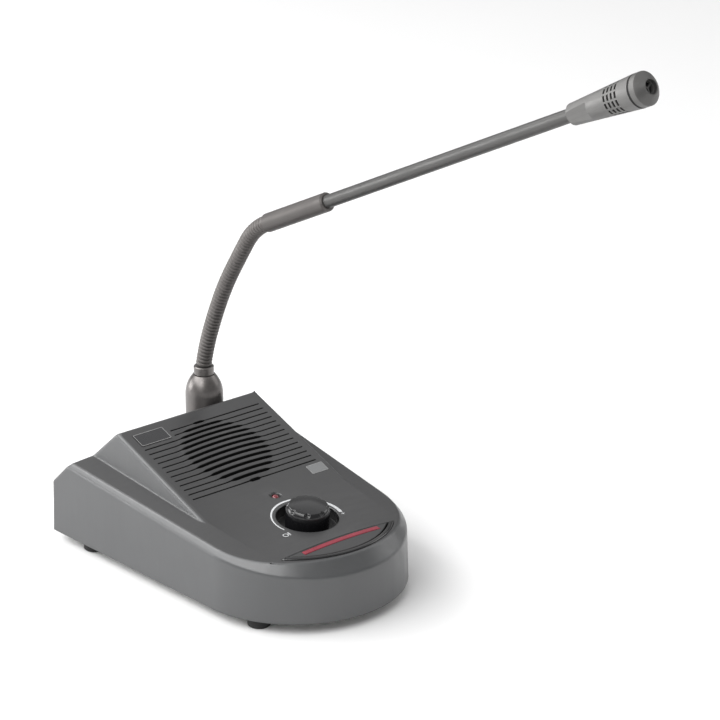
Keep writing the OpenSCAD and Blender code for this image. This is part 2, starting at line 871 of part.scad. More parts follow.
// Turned ferrule with a pointed-arch outline, clamped through the housing by its stub
module neck_ferrule()
    color("dimgray")
    at_neck() translate([0, 0, seat_z]) difference() {
        union() {
            rotate_extrude() polygon(concat([[0, 0], [ferrule_r, 0]], ogive, [[0, ogive_top]]));
            post(stub_r, -stub_len, 1);
        }
        post(wire_r + 0.8, -stub_len - 1, ferrule_h);
        post(collar_r + fit, ferrule_h - ring_h - collar_len - 0.1, ferrule_h);
    }

module ferrule_washer()
    color("silver")
    at_neck() pipe(washer_r, stub_r + gap, seat_z - seat_t - 1, seat_z - seat_t);

module ferrule_nut()
    color("silver")
    at_neck() difference() {
        translate([0, 0, seat_z - seat_t - 5]) cylinder(r = nut_r, h = 4, $fn = 6);
        post(stub_r + snug, 0, seat_z);
    }

// Collar that turns in the ferrule and carries the first ball of the hose
module hose_collar()
    color("dimgray")
    at_neck() difference() {
        union() {
            rotate_extrude() translate([0, neck_z - neck_gap - ring_h])
                polygon([[0, 0], [ring_r - 0.4, 0], [ring_r, 0.4], [ring_r, ring_h - 0.5],
                         [ring_r - 0.5, ring_h], [0, ring_h]]);
            post(collar_r, neck_z - neck_gap - ring_h - collar_len, neck_z - neck_gap - 1);
        }
        post(wire_r, 0, big);
        translate([0, 0, neck_z]) sphere(socket_r);
    }

// Lean of the hose at joint k, and the place of that joint as [forward, up]
function lean_at(k) = k == 0 ? hose_lean : lean_at(k - 1) + bends[k - 1];
function joint_at(k) = k == 0 ? [0, neck_z] : joint_at(k - 1) + along(k - 1, hose_seg);

// Way along the arc of the stretch above joint k
function turned(k, s) = lean_at(k) + bends[k] * s / hose_seg;
function along(k, s) =
    hose_seg / (bends[k] * PI / 180)
    * [cos(lean_at(k)) - cos(turned(k, s)), sin(turned(k, s)) - sin(lean_at(k))];

// Places children at a point of the neck's plane, with +Z leaning forwards
module in_plane(p, lean) at_neck() translate([0, -p.x, p.y]) rotate([lean, 0, 0]) children();

module on_stretch(k, s) in_plane(joint_at(k) + along(k, s), turned(k, s)) children();

// One stretch of ribbed hose: a core with a rib at each step, a ball below, a socket above
module hose_stretch(k) {
    stops = concat([core_start], [for (i = [0 : rib_count - 1]) rib_start + i * rib_step],
                   [hose_seg - core_stop]);
    difference() {
        union() {
            in_plane(joint_at(k), lean_at(k)) sphere(ball_r);
            for (i = [0 : len(stops) - 2]) {
                long = stops[i + 1] - stops[i];
                slim = i % 2 == 0 ? 0 : 0.1;
                on_stretch(k, stops[i]) rotate([bends[k] * long / hose_seg / 2, 0, 0])
                    post(core_r - slim, i == 0 ? 0 : -slim, long + (i < len(stops) - 2 ? slim : 0));
            }
            for (i = [1 : rib_count])
                on_stretch(k, stops[i]) rotate_extrude() translate([core_r, 0])
                    circle(i == 1 || i == rib_count ? end_rib_r : rib_r, $fn = 24);
        }
        in_plane(joint_at(k + 1), lean_at(k + 1)) sphere(socket_r);
    }
}

module hose_segment_1() color("dimgray") hose_stretch(0);
module hose_segment_2() color("dimgray") hose_stretch(1);
module hose_segment_3() color("dimgray") hose_stretch(2);
module hose_segment_4() color("dimgray") hose_stretch(3);
module hose_segment_5() color("dimgray") hose_stretch(4);

module on_boom() in_plane(joint_at(5), lean_at(5)) children();

// Sleeve that joins the hose to the tube
module sleeve()
    color("dimgray")
    on_boom() difference() {
        union() {
            sphere(ball_r);
            rotate_extrude() polygon([[0, core_start], [sleeve_r - 0.5, core_start],
                                      [sleeve_r, core_start + 0.5], [sleeve_r, sleeve_len - 1],
                                      [sleeve_r - 1, sleeve_len], [0, sleeve_len]]);
        }
        post(tube_r + snug, sleeve_len - tube_in, sleeve_len + 1);
        post(wire_r, core_start + 4, sleeve_len);
    }

module boom_tube()
    color("silver")
    on_boom() pipe(tube_r, tube_r - tube_wall, sleeve_len - tube_in, capsule_z + capsule_socket - 1);

// ---- Capsule ----

module on_capsule() on_boom() translate([0, 0, capsule_z]) children();

// Slender conical housing with two wrench flats and four rows of slots
module capsule_body()
    color("silver")
    on_capsule() difference() {
        rotate_extrude() polygon([[0, 0], [capsule_rear_r - 1, 0], [capsule_rear_r, 1],
                                  [capsule_r, capsule_len], [0, capsule_len]]);
        post(tube_r + snug, -1, capsule_socket);
        post(tube_r - tube_wall, 0, capsule_len);
        post(capsule_bore, flats_len + 6, capsule_len + 1);
        rotate([0, 0, flats_roll]) for (s = [0, 180]) rotate([0, 0, s])
            translate([flats_w / 2, -big / 2, -1]) cube([10, big, flats_len + 1]);
        difference() {
            for (i = [0 : 3]) pipe(capsule_r + 2, capsule_bore - 1, row_start + i * row_pitch,
                                   row_start + i * row_pitch + row_w);
            for (i = [0 : slots_round - 1]) rotate([0, 0, i * 360 / slots_round])
                translate([0, -row_bar / 2, 0]) cube([2 * capsule_r, row_bar, capsule_len]);
        }
    }

module capsule_gauze()
    color("black")
    on_capsule() pipe(capsule_bore - snug, capsule_bore - gauze_t, row_start - 4,
                      row_start + 3 * row_pitch + row_w + 1.5);

module capsule_o_ring()
    color("black")
    on_capsule() translate([0, 0, capsule_len + o_ring_r]) rotate_extrude()
        translate([capsule_r - o_ring_r - 0.2, 0]) circle(o_ring_r, $fn = 24);

// Front cap, held in the housing by its spigot
module capsule_cap()
    color("silver")
    on_capsule() translate([0, 0, cap_z]) difference() {
        rotate_extrude() polygon([[0, 0], [capsule_r, 0], [capsule_r, cap_edge],
                                  [capsule_r - 0.4, cap_edge + 0.4],
                                  [cap_hole_r + cap_lip, cap_len], [0, cap_len]]);
        post(cap_hole_r, -1, cap_len + 1);
        post(capsule_bore - cap_wall, -1, cap_edge);
    }

// Ring with three spokes behind the hole of the cap
module cap_guard()
    color("dimgray")
    on_capsule() translate([0, 0, cap_z + cap_edge]) {
        pipe(cap_hole_r - snug, cap_hole_r - 0.7, 0, 1.6);
        for (a = [30 : 120 : 270]) rotate([0, 0, a]) translate([-0.3, -0.4, 0.3])
            cube([cap_hole_r - 0.2, 0.8, 1]);
    }

module front_gauze()
    color("black")
    on_capsule() post(capsule_bore - cap_wall - snug, cap_z + cap_edge - gauze_t - snug,
                      cap_z + cap_edge - snug);

// Rubber ring that holds the element in the housing
module element_holder()
    color("black")
    on_capsule() pipe(capsule_bore - 0.1, element_r + snug, capsule_len - 6, capsule_len);

module electret_element()
    color("silver")
    on_capsule() difference() {
        post(element_r, capsule_len - 5.5, capsule_len - 5.5 + element_h);
        for (a = [0 : 60 : 300]) rotate([0, 0, a]) translate([2.4, 0, 0])
            post(0.5, capsule_len - 1.5, capsule_len + 1);
    }

top_housing();
base_plate();
feet();
housing_screws();
grille_cloth();
speaker_gasket();
speaker_frame();
speaker_magnet();
speaker_yoke();
speaker_cone();
speaker_coil();
dust_cap();
speaker_clips();
main_board();
board_screws();
capacitors();
amplifier_chip();
dc_jack();
line_jack();
unit_socket();
pot_body();
pot_nut();
pot_shaft();
volume_knob();
status_led();
led_holder();
talk_button();
light_bar();
talk_frame();
talk_hinge_pins();
talk_board();
talk_switch();
bar_lamps();
badge_plate();
neck_ferrule();
ferrule_washer();
ferrule_nut();
hose_collar();
hose_segment_1();
hose_segment_2();
hose_segment_3();
hose_segment_4();
hose_segment_5();
sleeve();
boom_tube();
capsule_body();
capsule_gauze();
capsule_o_ring();
capsule_cap();
cap_guard();
front_gauze();
element_holder();
electret_element();
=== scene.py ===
"""Desk intercom station with a gooseneck microphone.

Fine pieces, finishes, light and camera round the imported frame.
"""

import json
from functools import cache
from math import cos, pi, radians, sin

import bmesh
import bpy
import numpy as np
from bpy.props import FloatProperty, FloatVectorProperty, IntProperty, PointerProperty
from bpy.types import Operator, Panel, PropertyGroup
from mathutils import Matrix, Vector


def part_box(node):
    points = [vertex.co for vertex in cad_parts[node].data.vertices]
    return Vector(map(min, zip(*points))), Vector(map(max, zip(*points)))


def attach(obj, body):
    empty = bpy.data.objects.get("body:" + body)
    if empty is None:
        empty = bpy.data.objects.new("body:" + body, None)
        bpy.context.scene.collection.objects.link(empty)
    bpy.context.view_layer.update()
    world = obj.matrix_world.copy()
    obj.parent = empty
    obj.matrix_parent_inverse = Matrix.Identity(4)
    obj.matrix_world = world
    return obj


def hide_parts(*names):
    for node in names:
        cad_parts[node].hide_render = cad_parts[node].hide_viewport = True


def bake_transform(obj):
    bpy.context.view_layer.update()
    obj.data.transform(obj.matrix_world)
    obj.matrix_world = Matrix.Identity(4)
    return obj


bl_info = {
    "name": "Gooseneck Intercom Station",
    "version": (1, 0, 0),
    "blender": (4, 5, 0),
    "location": "View3D > Sidebar > Intercom",
    "description": "Fine pieces, finishes, light and camera for the packed intercom station",
    "category": "Object",
}

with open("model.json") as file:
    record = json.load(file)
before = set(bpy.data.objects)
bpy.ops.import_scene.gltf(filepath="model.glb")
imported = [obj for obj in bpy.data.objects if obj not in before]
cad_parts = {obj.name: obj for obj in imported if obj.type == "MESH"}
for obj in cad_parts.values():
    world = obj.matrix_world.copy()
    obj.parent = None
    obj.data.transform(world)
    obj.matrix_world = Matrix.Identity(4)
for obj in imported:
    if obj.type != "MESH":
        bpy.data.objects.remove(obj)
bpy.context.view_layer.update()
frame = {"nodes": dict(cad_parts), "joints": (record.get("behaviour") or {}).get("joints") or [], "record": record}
joints = {j["name"]: j for j in frame["joints"]}
MM = 0.001


# ---- Places that come from the frame ----


def joint_place(name):
    """Point and unit axis of a joint at rest, as numpy arrays."""
    axis = np.array(joints[name]["axis"], float)
    return np.array(joints[name]["pos_m"], float), axis / np.linalg.norm(axis)


def box_centre(name):
    """Middle of a node's box as a numpy array."""
    low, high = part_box(name)
    return (np.array(low) + np.array(high)) / 2


def node_points(name):
    """All points of a node's mesh as a numpy array."""
    return np.array([v.co for v in frame["nodes"][name].data.vertices])


class Place:
    """Right-handed frame: a point, its across (x), along (y) and up (z) directions."""

    def __init__(self, point, along, up):
        self.point = np.array(point, float)
        self.up = np.array(up, float) / np.linalg.norm(up)
        across = np.cross(along, self.up)
        self.across = across / np.linalg.norm(across)
        self.along = np.cross(self.up, self.across)
        self.axes = np.array([self.across, self.along, self.up])

    def put(self, points):
        """Points given in this frame, in metres, seen in the object's frame."""
        return self.point + np.asarray(points, float) @ self.axes

    def local(self, points):
        """Points given in the object's frame, seen in this frame."""
        return (np.asarray(points, float) - self.point) @ self.axes.T

    def matrix(self):
        """The same frame as a matrix for a mesh's transform."""
        m = Matrix.Identity(4)
        for i, axis in enumerate(self.axes):
            m.col[i][:3] = axis
        m.translation = self.point
        return m


def top_plane(name):
    """Upward normal of the largest flat side of a node, and its highest offset along that normal."""
    mesh = frame["nodes"][name].data
    normals = np.array([p.normal for p in mesh.polygons])
    areas = np.array([p.area for p in mesh.polygons])
    normals, areas = normals[normals[:, 2] > 0.5], areas[normals[:, 2] > 0.5]
    normal = (normals * areas[:, None]).sum(0)
    normal /= np.linalg.norm(normal)
    return normal, (node_points(name) @ normal).max()


knob_point, knob_axis = joint_place("volume_turn")
DECK = Place(knob_point, (0, 1, 0), -knob_axis)
badge_normal, badge_offset = top_plane("badge_plate")
badge_middle = box_centre("badge_plate")
badge_middle = badge_middle + (badge_offset - badge_middle @ badge_normal) * badge_normal
BADGE = Place(badge_middle, (0, 1, 0), badge_normal)
last_bend, bend_axis = joint_place("neck_bend_6")
BOOM = Place(last_bend, -bend_axis, box_centre("capsule_o_ring") - last_bend)
CROWN_BEND = 0.802  # metres


def crown_drop(x):
    """Drop of the crowned deck below its middle line: the distance's square over a fixed length."""
    return x ** 2 / CROWN_BEND


# ---- Settings ----


def millimetres(name, text, value, low, high):
    """Length setting: its value and its limits are given in millimetres."""
    return FloatProperty(name=name, description=text, default=value * MM, min=low * MM, max=high * MM,
                         unit="LENGTH")


def tint(name, text, value):
    """Colour setting."""
    return FloatVectorProperty(name=name, description=text, default=value, subtype="COLOR", min=0, max=1)


def watts(name, text, value):
    """Power of a light in watts."""
    return FloatProperty(name=name, description=text, default=value, min=0, subtype="POWER", unit="POWER")


class IntercomSizes(PropertyGroup):
    """Sizes of the fine pieces."""

    housing_edge: millimetres("Housing edge", "Rounding of the housing's outer edges", 0.9, 0.1, 2)
    button_edge: millimetres("Button edge", "Rounding of the talk button's edges", 0.45, 0.1, 1)
    knob_radius: millimetres("Knob radius", "Radius of the volume knob", 13.6, 12, 13.6)
    knob_height: millimetres("Knob height", "Height of the volume knob from its lower edge", 16.5, 14, 16.5)
    knob_dimples: IntProperty(
        name="Knob dimples", description="Number of finger dimples on the knob's shoulder",
        default=8, min=6, max=12)
    scale_radius: millimetres("Scale radius", "Radius of the printed scale round the knob", 22.1, 22, 25)
    rib_pitch: millimetres("Rib pitch", "Distance between two ribs of the gooseneck hose", 2.575, 2, 4)
    lens_pitch: millimetres("Lens pitch", "Distance between two cross ribs of the light bar", 1.5, 0.5, 2)


class IntercomColours(PropertyGroup):
    """Colours of the finishes."""

    side: tint("Housing side", "Plastic of the side walls and the bevel", (0.071, 0.073, 0.075))
    deck: tint("Housing top", "Plastic of the deck and the panel", (0.040, 0.040, 0.041))
    knob: tint("Knob", "Black of the volume knob", (0.008, 0.008, 0.009))
    lens: tint("Light bar", "Red of the light bar", (0.24, 0.018, 0.036))
    neck: tint("Neck metal", "Gunmetal of the ferrule, hose and sleeve", (0.120, 0.112, 0.108))
    boom: tint("Boom metal", "Satin grey of the tube and the capsule", (0.092, 0.091, 0.089))


class IntercomStage(PropertyGroup):
    """Light, floor and camera."""

    bank_power: watts("Bank of lights", "Long soft light over the left side", 30.0)
    back_power: watts("Back light", "Soft light behind the object that draws its edges", 13.0)
    low_power: watts("Low back light", "Low light behind the object, seen in its slanted sides", 14.0)
    ceiling_power: watts("Ceiling light", "Wide soft light of the ceiling", 60.0)
    fill_power: watts("Right light", "Weak light from the right", 5.0)
    sky: FloatProperty(name="Room light", description="Strength of the even light of the room",
                       default=0.28, min=0, max=3)
    lens: FloatProperty(name="Camera lens", description="Focal length of the camera in millimetres",
                        default=159.0, min=50, max=300)


# ---- Shader node groups ----


def add_node(tree, kind, inputs=None, **settings):
    """One shader node: settings are its properties, inputs its values or the sockets that feed it."""
    made = tree.nodes.new("ShaderNode" + kind)
    for key, value in settings.items():
        setattr(made, key, value)
    for key, value in (inputs or {}).items():
        if isinstance(value, bpy.types.NodeSocket):
            tree.links.new(value, made.inputs[key])
        else:
            made.inputs[key].default_value = value
    return made


def feed(made, **sockets):
    """Links sockets to a node's inputs; an underscore stands for a space in the input's name."""
    for key, value in sockets.items():
        made.id_data.links.new(value, made.inputs[key.replace("_", " ")])


def new_group(name, numbers, outputs):
    """Node group with a Vector input, the named numbers, one of them Scale, and the named outputs.

    Returns the group, its input and output nodes, and the Vector multiplied by Scale.
    """
    tree = bpy.data.node_groups.new(name, "ShaderNodeTree")
    tree.interface.new_socket("Vector", in_out="INPUT", socket_type="NodeSocketVector")
    for key, value in numbers.items():
        socket = tree.interface.new_socket(key, in_out="INPUT", socket_type="NodeSocketFloat")
        socket.default_value = value
    for key in outputs:
        tree.interface.new_socket(key, in_out="OUTPUT", socket_type="NodeSocketFloat")
    given, out = tree.nodes.new("NodeGroupInput"), tree.nodes.new("NodeGroupOutput")
    at = add_node(tree, "VectorMath", {0: given.outputs["Vector"], "Scale": given.outputs["Scale"]},
                  operation="SCALE").outputs[0]
    return tree, given, out, at


def maths(tree, operation, a, b=0.0):
    """One Math node's value."""
    return add_node(tree, "Math", {0: a, 1: b}, operation=operation).outputs[0]


def part_way(tree, value, low, high, start=0.0, stop=1.0):
    """Value socket turned into start at low and stop at high."""
    return add_node(tree, "MapRange", {"Value": value, "From Min": low, "From Max": high,
                                       "To Min": start, "To Max": stop}).outputs[0]


@cache
def moulded_grain():
    """Spark-eroded grain of a moulded plastic: small cells broken up by finer noise."""
    tree, _, out, at = new_group("moulded_grain", {"Scale": 1500.0}, ["Height", "Speck"])
    cells = add_node(tree, "TexVoronoi", {"Vector": at, "Scale": 1.0, "Smoothness": 0.6},
                     feature="SMOOTH_F1").outputs["Distance"]
    fine = add_node(tree, "TexNoise", {"Vector": at, "Scale": 1.7, "Detail": 3.0}).outputs["Fac"]
    height = maths(tree, "ADD", maths(tree, "MULTIPLY", cells, -0.6), fine)
    feed(out, Height=height, Speck=part_way(tree, fine, 0.56, 0.74))
    return tree


@cache
def handling():
    """Slow patches left by hands and dust, from two sizes of noise."""
    tree, _, out, at = new_group("handling", {"Scale": 25.0}, ["Patch", "Smear"])
    patch = add_node(tree, "TexNoise", {"Vector": at, "Scale": 1.0, "Detail": 4.0, "Roughness": 0.55})
    turn = add_node(tree, "Mapping", {"Vector": at, "Rotation": (0.3, 0.2, 0.9), "Scale": (1.0, 5.0, 1.0)})
    smear = add_node(tree, "TexNoise", {"Vector": turn.outputs[0], "Scale": 1.6, "Detail": 5.0})
    feed(out, Patch=patch.outputs["Fac"], Smear=smear.outputs["Fac"])
    return tree


@cache
def drawn_lines():
    """Fine lines that run along the local Z axis of drawn or brushed metal."""
    tree, given, out, at = new_group("drawn_lines", {"Scale": 2200.0, "Stretch": 0.03}, ["Height", "Tone"])
    parts = add_node(tree, "SeparateXYZ", {0: at})
    slow = maths(tree, "MULTIPLY", parts.outputs["Z"], given.outputs["Stretch"])
    x, y = parts.outputs["X"], parts.outputs["Y"]
    drawn = add_node(tree, "CombineXYZ", {"X": x, "Y": y, "Z": slow}).outputs[0]
    lines = add_node(tree, "TexNoise", {"Vector": drawn, "Scale": 1.0, "Detail": 3.0}).outputs["Fac"]
    feed(out, Height=lines, Tone=part_way(tree, lines, 0.35, 0.65))
    return tree


@cache
def edge_wear():
    """Mask of worn edges: where a rounded normal departs from the real one."""
    tree, given, out, at = new_group("edge_wear", {"Radius": 0.0006, "Scale": 300.0}, ["Mask"])
    rounded = add_node(tree, "Bevel", {"Radius": given.outputs["Radius"]}, samples=4).outputs[0]
    real = add_node(tree, "NewGeometry").outputs["Normal"]
    same = add_node(tree, "VectorMath", {0: rounded, 1: real}, operation="DOT_PRODUCT").outputs["Value"]
    edge = part_way(tree, same, 0.985, 0.80)
    noise = add_node(tree, "TexNoise", {"Vector": at, "Scale": 1.0, "Detail": 3.0}).outputs["Fac"]
    feed(out, Mask=maths(tree, "MULTIPLY", edge, part_way(tree, noise, 0.35, 0.65)))
    return tree


@cache
def plain_weave():
    """Plain weave: two crossing sets of threads that pass over each other in turn."""
    tree, _, out, at = new_group("plain_weave", {"Scale": 1100.0}, ["Height"])
    parts = add_node(tree, "SeparateXYZ", {0: at})
    waves = [maths(tree, "SINE", maths(tree, "MULTIPLY", parts.outputs[axis], pi)) for axis in "XY"]
    warp, weft = (maths(tree, "ABSOLUTE", wave) for wave in waves)
    over = add_node(tree, "TexChecker", {"Vector": at, "Scale": 1.0}).outputs["Fac"]
    mixed = add_node(tree, "Mix", {"Factor": over, "A": warp, "B": weft}, data_type="FLOAT").outputs[0]
    feed(out, Height=mixed)
    return tree


def group(tree, maker, vector, **numbers):
    """A node that places one of the shared groups, which its maker builds at the first use."""
    return add_node(tree, "Group", {"Vector": vector, **numbers}, node_tree=maker())


# ---- Finishes ----


def new_finish(name, roughness, metallic=0.0, **shader):
    """Material with one Principled shader, with its tree, the shader and the Object coordinates."""
    material = bpy.data.materials.new(name)
    material.use_nodes = True
    tree = material.node_tree
    tree.nodes.clear()
    end = tree.nodes.new("ShaderNodeOutputMaterial")
    inputs = {key.replace("_", " "): value for key, value in shader.items()}
    surface = add_node(tree, "BsdfPrincipled", {"Roughness": roughness, "Metallic": metallic, **inputs})
    feed(end, Surface=surface.outputs[0])
    at = add_node(tree, "TexCoord").outputs["Object"]
    return material, tree, surface, at


def tinted(colour, factor):
    """A colour made lighter or darker, with full cover as its fourth number."""
    return (*[min(1.0, c * factor) for c in colour[:3]], 1.0)


def blend_colour(tree, factor, a, b):
    """Colour that goes from a to b with the factor socket."""
    return add_node(tree, "Mix", {0: factor, 6: a, 7: b}, data_type="RGBA").outputs[2]


def wash(tree, base, mask, share, colour):
    """Base colour with another laid over it by the mask socket, up to the share."""
    return blend_colour(tree, maths(tree, "MULTIPLY", mask, share), base, colour)


def set_bump(tree, surface, height, strength, distance, soft=0.0):
    """Height socket to the shader's normal through one Bump node; soft rounds the normal near edges."""
    bump = add_node(tree, "Bump", {"Strength": strength, "Distance": distance, "Height": height})
    if soft:
        rounded = add_node(tree, "Bevel", {"Radius": soft}, samples=8)
        feed(bump, Normal=rounded.outputs[0])
    feed(surface, Normal=bump.outputs[0])


def plastic(name, colour, roughness, scale=1500.0, strength=0.35, wear=0.35, soft=0.0, **shader):
    """Moulded plastic: grain in the bump, specks and patches in the colour, lighter worn edges."""
    spread, depth = 0.05, 0.00006
    material, tree, surface, at = new_finish(name, roughness, **shader)
    grain = group(tree, moulded_grain, at, Scale=scale)
    hands = group(tree, handling, at, Scale=28.0)
    edge = group(tree, edge_wear, at)
    base = blend_colour(tree, hands.outputs["Patch"], tinted(colour, 0.90), tinted(colour, 1.10))
    base = wash(tree, base, grain.outputs["Speck"], 0.25, tinted(colour, 1.7))
    base = wash(tree, base, edge.outputs["Mask"], wear, tinted(colour, 1.9))
    rough = part_way(tree, hands.outputs["Smear"], 0.3, 0.7, roughness - spread, roughness + spread)
    feed(surface, Base_Color=base, Roughness=rough)
    set_bump(tree, surface, grain.outputs["Height"], strength, depth, soft)
    return material


def metal(name, colour, roughness, place=None, lines=0.25, scale=2200.0, stretch=0.03, grain=0.0,
          metallic=1.0, **shader):
    """Drawn, brushed or blasted metal: lines along the place's up direction, or an even grain."""
    material, tree, surface, at = new_finish(name, roughness, metallic, **shader)
    if place is not None:
        turn = place.matrix().inverted()
        at = add_node(tree, "Mapping", {"Vector": at, "Rotation": turn.to_euler(),
                                        "Location": turn.translation}).outputs[0]
    drawn = group(tree, drawn_lines, at, Scale=scale, Stretch=stretch)
    hands = group(tree, handling, at, Scale=40.0)
    edge = group(tree, edge_wear, at, Radius=0.0004)
    base = blend_colour(tree, hands.outputs["Patch"], tinted(colour, 0.88), tinted(colour, 1.12))
    base = wash(tree, base, drawn.outputs["Tone"], 0.3, tinted(colour, 1.35))
    base = wash(tree, base, edge.outputs["Mask"], 0.5, tinted(colour, 1.8))
    rough = part_way(tree, hands.outputs["Smear"], 0.3, 0.7, roughness - 0.06, roughness + 0.08)
    feed(surface, Base_Color=base, Roughness=rough)
    height = drawn.outputs["Height"]
    if grain:
        cells = group(tree, moulded_grain, at, Scale=3200.0).outputs["Height"]
        height = maths(tree, "ADD", maths(tree, "MULTIPLY", height, 1 - grain),
                       maths(tree, "MULTIPLY", cells, grain))
    set_bump(tree, surface, height, lines, 0.00003)
    return material


def lamp_red_finish():
    """Clear red lens of the status lamp, a little lit from within."""
    material, tree, surface, at = new_finish("lamp_red_lens", 0.12, Coat_Weight=0.6, Coat_Roughness=0.05,
                                             Emission_Strength=0.08)
    hands = group(tree, handling, at, Scale=220.0)
    facing = add_node(tree, "LayerWeight", {"Blend": 0.35}).outputs["Facing"]
    base = blend_colour(tree, facing, (0.16, 0.012, 0.02, 1), (0.05, 0.004, 0.008, 1))
    base = wash(tree, base, hands.outputs["Patch"], 0.3, (0.3, 0.05, 0.06, 1))
    feed(surface, Base_Color=base, Emission_Color=base)
    set_bump(tree, surface, hands.outputs["Smear"], 0.05, 0.00005)
    return material


def light_bar_finish(colour):
    """Frosted red plastic of the light bar with a faint grain and light specks."""
    material, tree, surface, at = new_finish("light_bar_lens", 0.30, Coat_Weight=0.25, Coat_Roughness=0.2,
                                             Emission_Strength=0.05)
    hands = group(tree, handling, at, Scale=90.0)
    grain = group(tree, moulded_grain, at, Scale=4200.0)
    base = blend_colour(tree, hands.outputs["Patch"], tinted(colour, 0.75), tinted(colour, 1.25))
    base = wash(tree, base, grain.outputs["Speck"], 0.3, tinted(colour, 1.6))
    feed(surface, Base_Color=base, Emission_Color=base)
    set_bump(tree, surface, grain.outputs["Height"], 0.15, 0.00003)
    return material


def gloss_finish(name, colour, roughness=0.12):
    """Polished black plastic with faint smears and hairline scratches."""
    material, tree, surface, at = new_finish(name, roughness, Coat_Weight=0.3, Coat_Roughness=0.08)
    hands = group(tree, handling, at, Scale=70.0)
    lines = group(tree, drawn_lines, at, Scale=900.0, Stretch=0.2)
    base = blend_colour(tree, hands.outputs["Patch"], tinted(colour, 0.7), tinted(colour, 1.5))
    rough = part_way(tree, hands.outputs["Smear"], 0.3, 0.7, roughness, roughness + 0.14)
    feed(surface, Base_Color=base, Roughness=rough)
    set_bump(tree, surface, lines.outputs["Height"], 0.05, 0.00002)
    return material


def cloth_finish():
    """Black plain-woven cloth behind the grille, with painted shade where the threads dip."""
    material, tree, surface, at = new_finish("grille_weave", 0.9, Sheen_Weight=0.3)
    weave = group(tree, plain_weave, at, Scale=1300.0)
    # Painted shade: the weave's low points, where one thread passes under another, are coloured darker than its
    # crowns
    base = blend_colour(tree, weave.outputs["Height"], (0.003, 0.003, 0.003, 1), (0.02, 0.02, 0.021, 1))
    feed(surface, Base_Color=base)
    set_bump(tree, surface, weave.outputs["Height"], 0.7, 0.0002)
    return material


def board_finish():
    """Green solder mask over copper tracks that run in steps."""
    material, tree, surface, at = new_finish("board_mask", 0.35, Coat_Weight=0.4)
    tracks = add_node(tree, "TexBrick", {"Vector": at, "Scale": 160.0, "Mortar Size": 0.06,
                                         "Brick Width": 0.9, "Row Height": 0.35})
    hands = group(tree, handling, at, Scale=60.0)
    base = blend_colour(tree, tracks.outputs["Fac"], (0.008, 0.075, 0.03, 1), (0.03, 0.16, 0.06, 1))
    base = wash(tree, base, hands.outputs["Patch"], 0.3, (0.01, 0.05, 0.02, 1))
    feed(surface, Base_Color=base)
    set_bump(tree, surface, tracks.outputs["Fac"], 0.3, 0.00005)
    return material


def print_finish():
    """White screen-printed ink with a slightly ragged cover."""
    material, tree, surface, at = new_finish("printed_white", 0.55)
    hands = group(tree, handling, at, Scale=400.0)
    grain = group(tree, moulded_grain, at, Scale=2600.0)
    base = blend_colour(tree, hands.outputs["Patch"], (0.50, 0.51, 0.52, 1), (0.78, 0.79, 0.80, 1))
    feed(surface, Base_Color=base)
    set_bump(tree, surface, grain.outputs["Height"], 0.2, 0.00003)
    return material


def floor_finish():
    """Pale matt studio floor with a barely visible tone."""
    material, tree, surface, at = new_finish("pale_floor", 0.85, Specular_IOR_Level=0.1)
    hands = group(tree, handling, at, Scale=2.0)
    base = blend_colour(tree, hands.outputs["Patch"], (0.90, 0.90, 0.90, 1), (0.93, 0.93, 0.93, 1))
    feed(surface, Base_Color=base)
    return material


